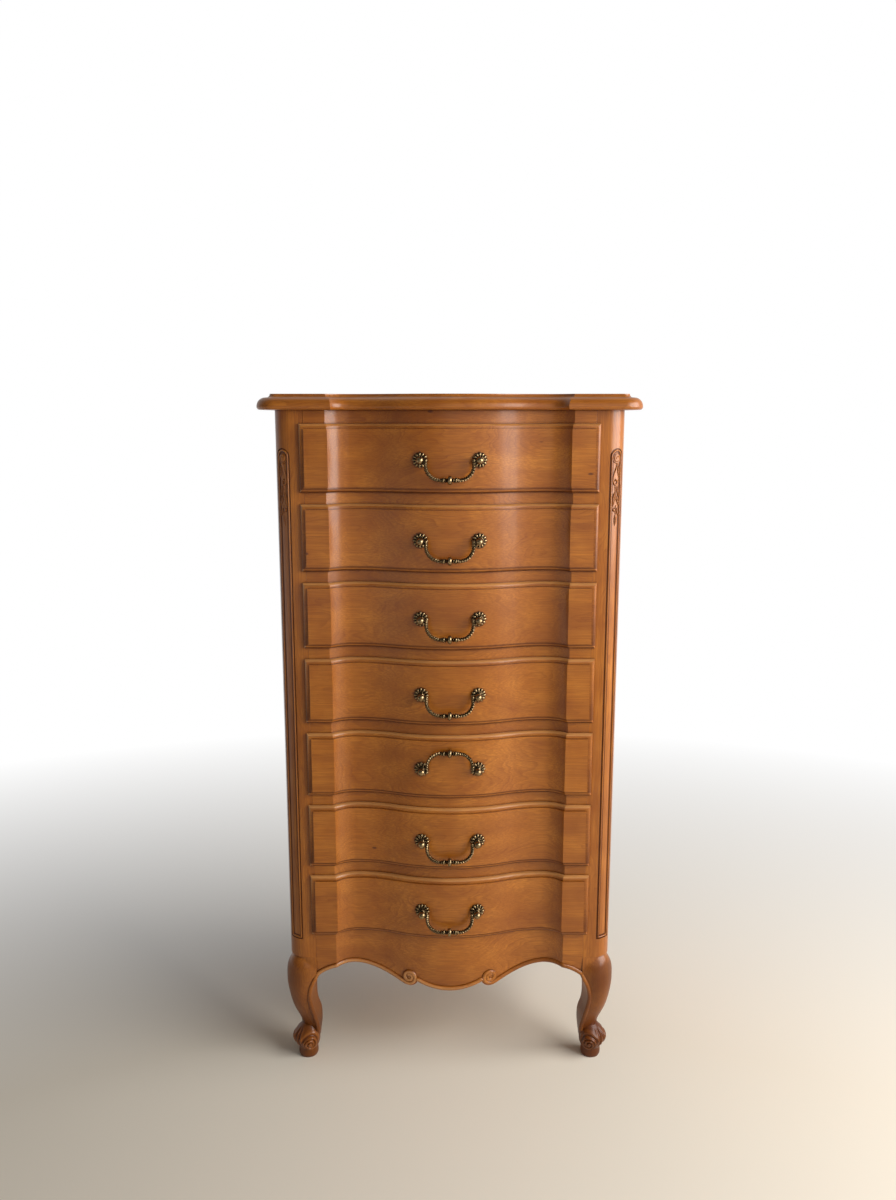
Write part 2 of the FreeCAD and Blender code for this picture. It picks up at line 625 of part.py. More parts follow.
def side_apron():
    """Right lower side rail with a scalloped lower edge."""
    x0 = HALF_CASE - SIDE_RAIL_INSET - SIDE_RAIL_THICKNESS
    span = Y_REAR_POST - Y_POST_REAR
    wave = [(0.0, APRON_END), (0.25, ARCH_TOP), (0.5, APRON_END + 4), (0.75, ARCH_TOP), (1.0, APRON_END)]
    curve = Part.BSplineCurve()
    curve.interpolate([V(x0, Y_POST_REAR + share * span, z) for share, z in wave])
    top = [V(x0, Y_REAR_POST, APRON_END), V(x0, Y_REAR_POST, SIDE_APRON_TOP),
           V(x0, Y_POST_REAR, SIDE_APRON_TOP), V(x0, Y_POST_REAR, APRON_END)]
    rail = Part.Face(Part.Wire([curve.toShape()] + chain(top))).extrude(V(SIDE_RAIL_THICKNESS, 0, 0))
    return joined([rail] + side_tenons(x0, ARCH_TOP, SIDE_APRON_TOP))


def side_tenons(x0, low, high):
    x_in, x_out = x0 + TENON_CHEEK, x0 + SIDE_RAIL_THICKNESS - TENON_CHEEK
    z0, z1 = low + TENON_SHOULDER, high - TENON_SHOULDER
    return [box(x_in, x_out, Y_POST_REAR - TENON_LENGTH, Y_POST_REAR, z0, z1),
            box(x_in, x_out, Y_REAR_POST, Y_REAR_POST + TENON_LENGTH, z0, z1)]


def make_case():
    post, hind = front_post(), rear_post()
    top_rail = front_rail(CASE_TOP - TOP_RAIL_SHOWN - LIP_LAP_Z, CASE_TOP)
    rails = [front_rail(OPEN_LOW + k * PITCH - RAIL_THICKNESS, OPEN_LOW + k * PITCH)
             for k in range(1, DRAWER_COUNT)]
    skirt = apron()

    x_rail = HALF_CASE - SIDE_RAIL_INSET - SIDE_RAIL_THICKNESS
    x_rail_out = HALF_CASE - SIDE_RAIL_INSET
    side_low = CASE_TOP - SIDE_RAIL_HEIGHT
    side_top = box(x_rail, x_rail_out, Y_POST_REAR, Y_REAR_POST, side_low, CASE_TOP)
    side_top = joined([side_top] + side_tenons(x_rail, side_low, CASE_TOP))
    side_low_rail = side_apron()
    x_panel = x_rail_out - SIDE_PANEL_INSET
    side_panel = box(x_panel - SIDE_PANEL_THICKNESS, x_panel,
                     Y_POST_REAR - PANEL_LAP, Y_REAR_POST + PANEL_LAP,
                     SIDE_APRON_TOP - PANEL_LAP, side_low + PANEL_LAP)
    side_rails = [rail.cut(side_panel) for rail in (side_top, side_low_rail)]

    x_back = HALF_CASE - REAR_POST_WIDTH
    back_low = OPEN_LOW - RUNNER_HEIGHT - BACK_RAIL_DROP
    back_rails = []
    for low in (back_low, CASE_TOP - BACK_RAIL_HEIGHT):
        high = low + BACK_RAIL_HEIGHT
        rail = box(-x_back, x_back, Y_BACK_RAIL, Y_BACK_RAIL + BACK_RAIL_THICKNESS, low, high)
        tenons = rail_tenon(x_back, Y_BACK_RAIL + TENON_CHEEK, Y_BACK_RAIL + BACK_RAIL_THICKNESS - TENON_CHEEK,
                            low + TENON_SHOULDER, high - TENON_SHOULDER)
        back_rails.append(joined([rail] + tenons))
    back_panel = box(-x_back - BACK_REBATE, x_back + BACK_REBATE, Y_BACK - BACK_PANEL_THICKNESS, Y_BACK,
                     back_low, CASE_TOP)

    x_guide = x_rail - PANEL_GAP

    def runner(level, y_start):
        """Right runner with its guide; the drawer side slides on the inner step."""
        x_in = OPEN_HALF - RUNNER_REACH
        bed = box(x_in, x_guide, y_start, Y_REAR_POST, level - RUNNER_HEIGHT, level)
        guide = box(OPEN_HALF, x_guide, max(y_start, Y_POST_REAR), Y_REAR_POST, level, level + GUIDE_HEIGHT)
        tongue_low = level - (RUNNER_HEIGHT + TONGUE_THICKNESS) / 2
        tongue = box(x_in, OPEN_HALF, y_start - TONGUE_LENGTH, y_start,
                     tongue_low, tongue_low + TONGUE_THICKNESS)
        return joined([bed, guide, tongue])

    runners = [runner(OPEN_LOW + k * PITCH, Y_RAIL_REAR) for k in range(1, DRAWER_COUNT)]
    lowest = runner(OPEN_LOW, Y_APRON_REAR)
    runners.append(lowest.cut(box(OPEN_HALF, HALF_CASE, Y_POST, Y_POST_REAR, 0, CASE_TOP)))
    kicker_low = CASE_TOP - TOP_RAIL_SHOWN - LIP_LAP_Z
    kicker = box(OPEN_HALF - RUNNER_REACH, x_guide, Y_RAIL_REAR, Y_BACK_RAIL, kicker_low, CASE_TOP)
    kicker = kicker.cut(box(x_back, HALF_CASE, Y_REAR_POST, Y_BACK, 0, CASE_TOP))
    floor_top = OPEN_LOW - RUNNER_HEIGHT
    floor_board = box(-x_guide, x_guide, Y_APRON_REAR, Y_BACK_RAIL, floor_top - BOTTOM_THICKNESS, floor_top)
    corners = [box(OPEN_HALF, HALF_CASE, Y_POST, Y_POST_REAR, 0, CASE_TOP),
               box(x_back, HALF_CASE, Y_REAR_POST, Y_BACK, 0, CASE_TOP)]
    floor_board = floor_board.cut(corners + [mirrored(shape) for shape in corners])

    screws = []
    for share in SCREW_SHARES:
        x = (OPEN_HALF - RUNNER_REACH + x_guide) / 2
        foot = V(x, Y_RAIL_REAR + share * (Y_REAR_POST - Y_RAIL_REAR), kicker_low)
        shank = Part.makeCylinder(SCREW_RADIUS, CASE_TOP - kicker_low + SCREW_BITE, foot, V(0, 0, 1))
        head = Part.makeCone(SCREW_HEAD_RADIUS, SCREW_RADIUS, SCREW_HEAD_HEIGHT, foot, V(0, 0, 1))
        screws.append(joined([shank, head]))
    screws += [mirrored(screw) for screw in screws]

    both_runners = runners + [mirrored(shape) for shape in runners]
    kickers = [shape.cut(screws) for shape in (kicker, mirrored(kicker))]
    rails = [rail.cut(both_runners) for rail in rails]
    skirt = skirt.cut(both_runners)
    post = post.cut([top_rail, skirt] + rails + side_rails + [side_panel])
    hind = hind.cut(side_rails + [side_panel] + back_rails + [back_panel])

    save("top_board", top_board().cut(screws))
    save("front_post_right", post)
    save("front_post_left", mirrored(post))
    save("rear_post_right", hind)
    save("rear_post_left", mirrored(hind))
    save("front_top_rail", top_rail)
    save("drawer_rails", *rails)
    save("apron", skirt)
    save("side_rails_right", *side_rails)
    save("side_rails_left", *[mirrored(rail) for rail in side_rails])
    save("side_panel_right", side_panel)
    save("side_panel_left", mirrored(side_panel))
    save("back_rails", *back_rails)
    save("back_panel", back_panel)
    save("drawer_runners", *both_runners)
    save("top_kickers", *kickers)
    save("bottom_board", floor_board)
    save("top_screws", *screws)


os.makedirs("parts", exist_ok=True)
make_drawers()
make_case()
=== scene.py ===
"""Looks of a tall chest in lacquered cherry, with seven serpentine drawers and browned brass handles."""
import json
import math
import random

import bmesh
import bpy
import numpy as np
from bpy.props import FloatProperty, FloatVectorProperty, IntProperty, PointerProperty
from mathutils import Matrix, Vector
from mathutils.bvhtree import BVHTree

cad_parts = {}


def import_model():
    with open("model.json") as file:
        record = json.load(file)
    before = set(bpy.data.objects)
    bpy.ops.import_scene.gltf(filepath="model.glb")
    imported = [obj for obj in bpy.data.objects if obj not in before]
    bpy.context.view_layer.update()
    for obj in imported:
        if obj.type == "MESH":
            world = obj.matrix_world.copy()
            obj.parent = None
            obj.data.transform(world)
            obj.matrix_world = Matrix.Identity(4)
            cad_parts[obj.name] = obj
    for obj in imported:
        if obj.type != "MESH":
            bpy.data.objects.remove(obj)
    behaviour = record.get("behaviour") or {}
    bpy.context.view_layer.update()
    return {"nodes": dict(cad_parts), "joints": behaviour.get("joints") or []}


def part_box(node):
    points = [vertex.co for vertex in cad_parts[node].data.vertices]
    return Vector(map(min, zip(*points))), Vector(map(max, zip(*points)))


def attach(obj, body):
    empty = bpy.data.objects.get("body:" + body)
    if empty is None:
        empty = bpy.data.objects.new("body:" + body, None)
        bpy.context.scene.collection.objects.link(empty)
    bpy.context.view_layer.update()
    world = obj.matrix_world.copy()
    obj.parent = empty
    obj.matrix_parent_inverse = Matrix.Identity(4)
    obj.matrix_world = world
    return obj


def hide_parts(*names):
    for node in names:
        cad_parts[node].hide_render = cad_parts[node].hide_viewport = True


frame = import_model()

bl_info = {
    "name": "Cherry Semainier",
    "version": (1, 0, 0),
    "blender": (4, 5, 0),
    "location": "View3D > Sidebar > Semainier",
    "description": "Dresses the frame of a seven-drawer chest with carving, mouldings, handles and finishes",
    "category": "Add Mesh",
}

NODES = frame["nodes"]
DRAWERS = sorted({name.split("_")[1] for name in NODES if name.endswith("_front")}, key=int)
HANDS = {"left": -1, "right": 1}
PHOTO_WIDTH = 896
PHOTO_HEIGHT = 1200
SENSOR = 36.0


def linear(text):
    """An sRGB hex colour as linear red, green, blue and alpha."""
    shares = [int(text[k:k + 2], 16) / 255 for k in (1, 3, 5)]
    return [c / 12.92 if c <= 0.04045 else ((c + 0.055) / 1.055) ** 2.4 for c in shares] + [1.0]


def length(label, text, millimetres):
    """A size property, given in millimetres and kept in metres."""
    return FloatProperty(name=label, description=text, default=millimetres / 1000, unit="LENGTH", precision=4)


def colour(label, text, shade):
    """A colour property, given as an sRGB hex value."""
    return FloatVectorProperty(name=label, description=text, default=linear(shade), size=4, subtype="COLOR",
                               min=0.0, max=1.0)


class ChestSizes(bpy.types.PropertyGroup):
    """Sizes of the parts that the frame leaves plain."""
    edge: length("Softened edge", "Width of the rounding on every board edge", 0.7)
    post_round: length("Post round", "Radius of the posts' outer corner", 32)
    panel_floor: length("Panel depth", "Depth of the sunk panel on the posts", 2)
    panel_half: length("Panel half width", "Half the width of the sunk panel, straight across", 14.28)
    panel_turn: FloatProperty(name="Panel turn", default=math.radians(34), subtype="ANGLE",
                              description="Turn of the panel's middle from the front to the side")
    panel_low: length("Panel foot", "Height of the sunk panel's lower end", 257)
    panel_high: length("Panel head", "Height of the sunk panel's round head", 1177)
    panel_bead: length("Panel bead", "Width of the bead inside the sunk panel", 3.6)
    # The groove is drawn as a dark strip of this width, painted shade of the groove
    panel_groove: length("Panel groove", "Width of the stained line on each side of the panel's bead", 1.9)
    carving_high: length("Carving relief", "Height of the carved flower above the panel floor", 3.2)
    carving_grid: length("Carving grid", "Spacing of the points on the carved flower", 0.55)
    knee_top: length("Knee top", "Height of the crease above the knee", 220)
    knee_bulge: length("Knee bulge", "How far the knee swells past the post", 9)
    foot_top: length("Foot top", "Height of the carved foot", 66)
    apron_bead: length("Apron bead", "Width of the bead on the apron's edge", 8.6)
    apron_bead_high: length("Apron bead height", "How far the apron's bead stands out", 3.8)
    scroll_x: length("Scroll place", "Distance of the apron's scrolls from the middle", 77)
    scroll_z: length("Scroll height", "Height of the apron's scrolls", 183)
    scroll_round: length("Scroll radius", "Radius at which the apron's bead starts to curl", 14)
    pull_x: length("Rosette place", "Distance of the rosettes from the middle", 51)
    rosette_round: length("Rosette radius", "Radius of the rosettes over their petals", 14)
    petals: IntProperty(name="Petals", description="Petals on each rosette", default=12, min=5, max=24)
    ball: length("Ball head", "Radius of the ball that carries the bail", 6.5)
    pin: length("Pin", "Radius of the bail's pivot pin", 2)
    rod: length("Bail rod", "Radius of the twisted rod of the bail", 3.7)
    bail_drop: length("Bail drop", "Depth of the bail below its pivots", 33.5)
    bail_bend: length("Bail bend", "Radius of the bail's lower corners", 24.8)
    grip_half: length("Grip half length", "Half the length of the turned middle of the bail", 16)
    twist: length("Twist pitch", "Length of one turn of the bail's twisted rod", 13)
    nail_step: length("Nail step", "Distance between the nails of the back panel", 88)


class ChestFinish(bpy.types.PropertyGroup):
    """Colours and gloss of the finishes."""
    heartwood: colour("Heartwood", "Middle colour of the lacquered cherry", "#A65C0C")
    earlywood: colour("Early wood", "Light bands of the cherry", "#C77C29")
    latewood: colour("Late wood", "Dark lines of the cherry", "#7F3F08")
    # Old stain colour; the painted shade of corners, creases and grooves is drawn in it too
    stain: colour("Old stain", "Dark wood of the feet and of deep corners", "#421605")
    lacquer: FloatProperty(name="Lacquer roughness", description="Roughness of the satin lacquer",
                           default=0.33, min=0.05, max=0.9)
    beech: colour("Beech", "Drawer sides and runners", "#C79A66")
    beech_dark: colour("Beech dark", "Flecks of the drawer sides and runners", "#A87845")
    poplar: colour("Poplar", "Drawer bottoms and back panel", "#CDA877")
    poplar_dark: colour("Poplar dark", "Veins of the drawer bottoms and back panel", "#B18A58")
    brass: colour("Brass", "Rubbed high spots of the handles", "#C9AC7E")
    tarnish: colour("Tarnish", "Brown film in the hollows of the handles", "#24140A")
    # Colour of painted light: the painted highlight on the drawers' upper lips and the beads' crests, and the
    # paler left lips
    worn: colour("Worn edge", "Upper edges of the drawers, rubbed pale", "#DDA96F")
    zinc: colour("Zinc", "Screws, nuts and bolts", "#A6A7A4")


class ChestStage(bpy.types.PropertyGroup):
    """Camera, lamps and floor."""
    eye_x: length("Eye across", "Camera place across the chest", -3)
    eye_y: length("Eye distance", "Camera place in front of the chest", -1897.5)
    eye_z: length("Eye height", "Camera height above the floor", 1229)
    pitch: FloatProperty(name="Pitch", description="Tilt of the camera below the level",
                         default=math.radians(10.47), subtype="ANGLE")
    focal_pixels: FloatProperty(name="Focal length", description="Focal length in pixels of the picture",
                                default=987.0, subtype="PIXEL")
    window: FloatProperty(name="Window", description="Power of the large soft lamp on the right",
                          default=84.0, unit="POWER")
    fill: FloatProperty(name="Fill", description="Power of the wide lamp in front",
                        default=10.5, unit="POWER")
    sky: FloatProperty(name="Room light", description="Strength of the even light of the room", default=0.15)
    floor: colour("Floor", "Colour of the pale floor", "#E9DFCE")


def sizes():
    """The sizes that are set in the scene."""
    return bpy.context.scene.chest_sizes


def finish():
    """The colours and gloss that are set in the scene."""
    return bpy.context.scene.chest_finish


# Meshes

# Angles between faces, in degrees: of one level face, of an edge to soften, of a crease that gets painted
# shade and of an edge that stays sharp
LEVEL, CORNER, CREASE, SHARP = 0.3, 33, 24, 50
# How much painted shade a crease gets, and the longest edge of the softening beside it
CREASE_STAIN, SOFTENING = 0.95, 0.003
# How near points lie that are one point: in a frame mesh, in a new mesh, on a cut and in a flat face
FRAME_POINT, NEW_POINT, CUT_POINT, FLAT_POINT = 1e-5, 2e-6, 1e-6, 1e-7


def grid_faces(rows, columns, around=False, start=0):
    """Quads between rows of points; around closes each row on itself."""
    faces = []
    for row in range(rows - 1):
        for column in range(columns if around else columns - 1):
            following = (column + 1) % columns
            faces.append((start + row * columns + column, start + row * columns + following,
                          start + (row + 1) * columns + following, start + (row + 1) * columns + column))
    return faces


def tube_faces(rows, columns):
    """Faces of a closed tube: quads round its rows and a cap at each end."""
    last = (rows - 1) * columns
    caps = [tuple(range(columns))[::-1], tuple(range(last, last + columns))]
    return grid_faces(rows, columns, around=True) + caps


def lathe(profile, steps):
    """Points and faces of a profile of (radius, height) turned about Z and closed at both ends."""
    turns = np.linspace(0, 2 * math.pi, steps, endpoint=False)
    points = [(r * math.cos(t), r * math.sin(t), z) for r, z in profile for t in turns]
    return np.array(points), tube_faces(len(profile), steps)


def metres(millimetres):
    """Numbers that are written in millimetres, in the frame's unit."""
    return np.array(millimetres) / 1000


def joined(shapes):
    """One set of points and faces from several."""
    points, faces, start = [], [], 0
    for shape_points, shape_faces in shapes:
        points.append(np.asarray(shape_points, float))
        faces += [tuple(index + start for index in face) for face in shape_faces]
        start += len(shape_points)
    return np.concatenate(points), faces


def mesh_from(name, shape):
    """A mesh with merged doubles and faces that point outwards."""
    points, faces = shape
    mesh = bpy.data.meshes.new(name)
    mesh.from_pydata([tuple(p) for p in points], [], faces)
    form = bmesh.new()
    form.from_mesh(mesh)
    bmesh.ops.remove_doubles(form, verts=form.verts, dist=NEW_POINT)
    bmesh.ops.dissolve_degenerate(form, edges=form.edges, dist=FLAT_POINT)
    bmesh.ops.recalc_face_normals(form, faces=form.faces)
    form.to_mesh(mesh)
    form.free()
    return mesh


def place(name, mesh, body, slot, smooth=0, stands_for=()):
    """Makes a finished piece of a mesh and lets it ride on its body.

    Edges below the smooth angle, in degrees, are rounded to the eye; 0 keeps the mesh's own shading.
    """
    piece = bpy.data.objects.new(name, mesh)
    bpy.context.scene.collection.objects.link(piece)
    mesh.materials.clear()
    mesh.materials.append(FINISHES[slot]())
    if smooth:
        mesh.shade_smooth()
        mesh.set_sharp_from_angle(angle=math.radians(smooth))
    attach(piece, body)
    if stands_for:
        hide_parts(*stands_for)


def plain_mesh(piece):
    """The evaluated mesh of an object, free of its modifiers."""
    shown = piece.evaluated_get(bpy.context.evaluated_depsgraph_get())
    mesh = bpy.data.meshes.new_from_object(shown)
    bpy.data.objects.remove(piece)
    return mesh


def taken(mesh):
    """Points and faces of a mesh, which is then removed."""
    shape = points_of(mesh).astype(float), [tuple(face.vertices) for face in mesh.polygons]
    bpy.data.meshes.remove(mesh)
    return shape


def softened(node, keep_above=None, levels=(), lines=True):
    """A copy of a frame node with merged points, softened edges and, if it has lines, painted shade in its
    creases.

    Its level faces are in one piece. Levels are heights above its foot where it gets a row of points.
    """
    form = bmesh.new()
    form.from_mesh(NODES[node].data)
    bmesh.ops.remove_doubles(form, verts=form.verts, dist=FRAME_POINT)
    if keep_above is not None:
        cut = bmesh.ops.bisect_plane(form, geom=form.verts[:] + form.edges[:] + form.faces[:], dist=CUT_POINT,
                                     plane_co=(0, 0, keep_above), plane_no=(0, 0, -1), clear_outer=True)
        rim = [item for item in cut["geom_cut"] if isinstance(item, bmesh.types.BMEdge)]
        bmesh.ops.holes_fill(form, edges=rim, sides=0)
    bmesh.ops.dissolve_limit(form, angle_limit=math.radians(LEVEL), verts=form.verts, edges=form.edges)
    corners = [e for e in form.edges if e.is_manifold and e.calc_face_angle(0) > math.radians(CORNER)]
    bmesh.ops.bevel(form, geom=corners, offset=sizes().edge, offset_type="OFFSET", segments=2, profile=0.5,
                    affect="EDGES", clamp_overlap=True, loop_slide=True)
    foot = min(point.co.z for point in form.verts)
    for level in levels:
        bmesh.ops.bisect_plane(form, geom=form.verts[:] + form.edges[:] + form.faces[:], dist=CUT_POINT,
                               plane_co=(0, 0, foot + level), plane_no=(0, 0, 1))
    form.normal_update()
    tone = form.verts.layers.float.new("tone")
    # Points on a crease get painted shade: the dark line that shade draws in an inner corner
    creases = {e for e in form.edges if lines and e.is_manifold
               and e.calc_face_angle_signed(0) < -math.radians(CREASE)}
    for point in {point for edge in creases for point in edge.verts}:
        if all(edge in creases or edge.calc_length() < SOFTENING for edge in point.link_edges):
            point[tone] = CREASE_STAIN
    mesh = bpy.data.meshes.new(node)
    form.to_mesh(mesh)
    form.free()
    if "custom_normal" in mesh.attributes:
        mesh.attributes.remove(mesh.attributes["custom_normal"])
    mesh.shade_smooth()
    mesh.set_sharp_from_angle(angle=math.radians(SHARP))
    piece = bpy.data.objects.new(node, mesh)
    bpy.context.scene.collection.objects.link(piece)
    weighted = piece.modifiers.new("Level faces first", "WEIGHTED_NORMAL")
    weighted.keep_sharp = True
    bpy.context.view_layer.update()
    return plain_mesh(piece)


def boards_of(mesh):
    """A number for each point that says which separate board of the mesh it belongs to."""
    owner = list(range(len(mesh.vertices)))

    def head(index):
        while owner[index] != index:
            owner[index] = owner[owner[index]]
            index = owner[index]
        return index

    for edge in mesh.edges:
        a, b = (head(index) for index in edge.vertices)
        owner[a] = b
    heads = [head(index) for index in range(len(owner))]
    order = {index: number for number, index in enumerate(sorted(set(heads)))}
    return np.array([order[index] for index in heads])


def points_of(mesh):
    """The places of a mesh's points, one row each."""
    flat = np.empty(len(mesh.vertices) * 3, np.float32)
    mesh.vertices.foreach_get("co", flat)
    return flat.reshape(-1, 3)


# Where a board lay in its tree, in metres: how far along it and aside of its heart at most, and how far out
ALONG_TREE, ASIDE, OUTWARD = 9, 0.03, (0.05, 0.11)


def lay_grain(mesh, along, seed, tone=None):
    """Stores where each point lay in its tree: along the grain and, from the heart, across and through it.

    The tone says how dark a point is drawn, from old stain and painted shade, on top of the painted shade its
    creases hold. Below 0 it is painted light, paler than the wood.
    """
    points = points_of(mesh)
    order = {"X": (0, 2, 1), "Y": (1, 2, 0), "Z": (2, 0, 1)}[along]
    trunk = points[:, order].copy()
    boards = boards_of(mesh)
    draw = random.Random(seed)
    for board in range(boards.max() + 1):
        own = boards == board
        middle = (trunk[own].min(0) + trunk[own].max(0)) / 2
        heart = (draw.uniform(-ALONG_TREE, ALONG_TREE), draw.uniform(-ASIDE, ASIDE),
                 draw.choice((-1, 1)) * draw.uniform(*OUTWARD))
        trunk[own] += np.array(heart) - middle * (0, 1, 1)
    store = mesh.attributes.new("trunk", "FLOAT_VECTOR", "POINT")
    store.data.foreach_set("vector", trunk.astype(np.float32).ravel())
    shade = mesh.attributes.get("tone") or mesh.attributes.new("tone", "FLOAT", "POINT")
    dark = np.zeros(len(points), np.float32)
    shade.data.foreach_get("value", dark)
    if tone is not None:
        given = tone(points)
        dark = np.where(dark > 0, np.maximum(dark, given), given)
    shade.data.foreach_set("value", dark.astype(np.float32))


def surface_of(node):
    """A search tree of a frame node, to find where a line meets its surface."""
    mesh = NODES[node].data
    return BVHTree.FromPolygons([v.co for v in mesh.vertices], [tuple(p.vertices) for p in mesh.polygons])


def meet(tree, start, direction):
    """The first point where a line meets a surface."""
    hit = tree.ray_cast(Vector(start), Vector(direction))[0]
    if hit is None:
        raise RuntimeError("no surface in front of %s" % (tuple(start),))
    return hit


# Node trees

# Sockets of the Mix node for colours
SHARE, UNDER, OVER, MIXED = 0, 6, 7, 2


def add(tree, kind, inputs=None, stops=(), **settings):
    """Adds a node with its settings and links.

    An input is a value, a socket or a node whose first output feeds it. The stops are those of a colour ramp,
    each with its place and a grey level or a colour.
    """
    node = tree.nodes.new(kind)
    for key, value in settings.items():
        setattr(node, key, value)
    for key, value in (inputs or {}).items():
        if isinstance(value, bpy.types.Node):
            value = value.outputs[0]
        if isinstance(value, bpy.types.NodeSocket):
            tree.links.new(value, node.inputs[key])
        else:
            node.inputs[key].default_value = value
    if stops:
        band = node.color_ramp.elements
        while len(band) < len(stops):
            band.new(0.5)
        for element, (at, shade) in zip(band, stops):
            element.position = at
            element.color = shade if hasattr(shade, "__len__") else (shade, shade, shade, 1.0)
    return node


def emptied_tree(owner):
    """The node tree of a material or a world, with no node in it."""
    owner.use_nodes = True
    owner.node_tree.nodes.clear()
    return owner.node_tree


def new_material(name):
    """A material with its empty tree, or the one that is there already and no tree."""
    material = bpy.data.materials.get(name)
    if material:
        return material, None
    material = bpy.data.materials.new(name)
    return material, emptied_tree(material)


def per_metre(*millimetres):
    """Scale of a pattern whose features have these sizes."""
    return [1000 / size for size in millimetres]


def mottle(tree, where, millimetres, detail, **more):
    """A cloudy pattern whose features have these sizes along its three axes."""
    scaled = add(tree, "ShaderNodeMapping", {"Vector": where, "Scale": per_metre(*millimetres)})
    return add(tree, "ShaderNodeTexNoise", {"Vector": scaled, "Scale": 1.0, "Detail": detail, **more})


def lacquered_cherry():
    """Cherry, planed, stained and finished with satin lacquer.

    The eye sees soft growth lines, short dark flecks and a silky sheen.
    """
    material, tree = new_material("lacquered_cherry")
    if tree is None:
        return material
    look = finish()
    trunk = add(tree, "ShaderNodeAttribute", attribute_name="trunk").outputs["Vector"]
    tone = add(tree, "ShaderNodeAttribute", attribute_name="tone").outputs["Fac"]

    # Growth rings round the heart, 4.6 mm apart, bent by slow waves along the grain and unevenly spaced
    rings, wander = per_metre(4.6, 11)
    split = add(tree, "ShaderNodeSeparateXYZ", {"Vector": trunk})
    flat = add(tree, "ShaderNodeCombineXYZ", {"Y": split.outputs["Y"], "Z": split.outputs["Z"]})
    radius = add(tree, "ShaderNodeVectorMath", {0: flat}, operation="LENGTH").outputs["Value"]
    sway = mottle(tree, trunk, (170, 45, 45), 2.0)
    ripple = mottle(tree, trunk, (60, 12, 12), 3.0)
    for bend, reach in ((sway, 0.045), (ripple, 0.0035)):
        radius = add(tree, "ShaderNodeMath", {0: bend, 1: reach, 2: radius}, operation="MULTIPLY_ADD")
    place_in_tree = add(tree, "ShaderNodeMath", {0: radius, 1: wander}, operation="MULTIPLY")
    uneven = add(tree, "ShaderNodeTexNoise", {"W": place_in_tree, "Scale": 1.0, "Detail": 2.0},
                 noise_dimensions="1D")
    radius = add(tree, "ShaderNodeMath", {0: uneven, 1: 0.012, 2: radius}, operation="MULTIPLY_ADD")
    ring = add(tree, "ShaderNodeMath", {0: radius, 1: rings}, operation="MULTIPLY")
    ring = add(tree, "ShaderNodeMath", {0: ring}, operation="FRACT")
    line = add(tree, "ShaderNodeValToRGB", {"Fac": ring},
               stops=((0.0, 0.15), (0.12, 0.0), (0.62, 0.35), (0.93, 1.0), (1.0, 0.15)))
    faint = add(tree, "ShaderNodeValToRGB", {"Fac": mottle(tree, trunk, (150, 30, 30), 2.0)},
                stops=((0.36, 0.08), (0.72, 0.66)))
    # Fibres 1.6 mm wide and flecks 0.8 mm wide, both drawn coarser than real ones so that they show
    fibre = mottle(tree, trunk, (70, 1.6, 1.6), 4.0, Roughness=0.6)
    strand = add(tree, "ShaderNodeValToRGB", {"Fac": fibre}, stops=((0.42, 1.0), (0.62, 0.0)))
    fleck = add(tree, "ShaderNodeValToRGB", {"Fac": mottle(tree, trunk, (9, 0.8, 0.8), 1.0)},
                stops=((0.66, 0.0), (0.78, 1.0)))
    # Slow cross figure of lighter bands, the wood's figure drawn also as a painted sheen of the planed face,
    # and long darker clouds along the grain
    figure = add(tree, "ShaderNodeValToRGB", {"Fac": mottle(tree, trunk, (52, 60, 60), 2.0)},
                 stops=((0.25, 0.12), (0.75, 0.88)))
    cloud = add(tree, "ShaderNodeValToRGB", {"Fac": mottle(tree, trunk, (420, 48, 48), 2.0)},
                stops=((0.42, 0.0), (0.70, 1.0)))
    # A few gum spots, each a small brown dot
    spread = add(tree, "ShaderNodeMapping", {"Vector": trunk, "Scale": per_metre(150, 70, 70)})
    spot = add(tree, "ShaderNodeTexVoronoi", {"Vector": spread, "Scale": 1.0})
    dot = add(tree, "ShaderNodeValToRGB", {"Fac": spot}, stops=((0.020, 1.0), (0.042, 0.0)))
    # Painted shade in corners and grooves within 6 mm, joined with the stored tone of old stain and painted
    # shade; a tone below 0 is painted light
    open_air = add(tree, "ShaderNodeAmbientOcclusion", {"Distance": 0.006}, samples=6).outputs["AO"]
    corner = add(tree, "ShaderNodeValToRGB", {"Fac": open_air}, stops=((0.30, 0.9), (0.86, 0.0)))
    stained = add(tree, "ShaderNodeMath", {0: tone, 1: 0.80}, operation="MULTIPLY")
    aged = add(tree, "ShaderNodeMath", {0: corner, 1: stained}, operation="MAXIMUM")
    rubbed = add(tree, "ShaderNodeMath", {0: tone, 1: -1.0}, operation="MULTIPLY", use_clamp=True)

    # Each layer over the wood: where it lies, how strong it is and its colour
    wood = look.heartwood
    # The stain layer is old stain together with painted shade in corners and creases; the last layer is
    # painted light
    for where, strength, shade in ((figure, 1.0, look.earlywood), (line, faint, look.latewood),
                                   (strand, 0.42, look.latewood), (cloud, 0.50, look.latewood),
                                   (fleck, 0.45, look.stain), (dot, 0.75, look.stain),
                                   (aged, 1.0, look.stain), (rubbed, 1.0, look.worn)):
        share = add(tree, "ShaderNodeMath", {0: where, 1: strength}, operation="MULTIPLY")
        wood = add(tree, "ShaderNodeMix", {SHARE: share, UNDER: wood, OVER: shade},
                   data_type="RGBA").outputs[MIXED]

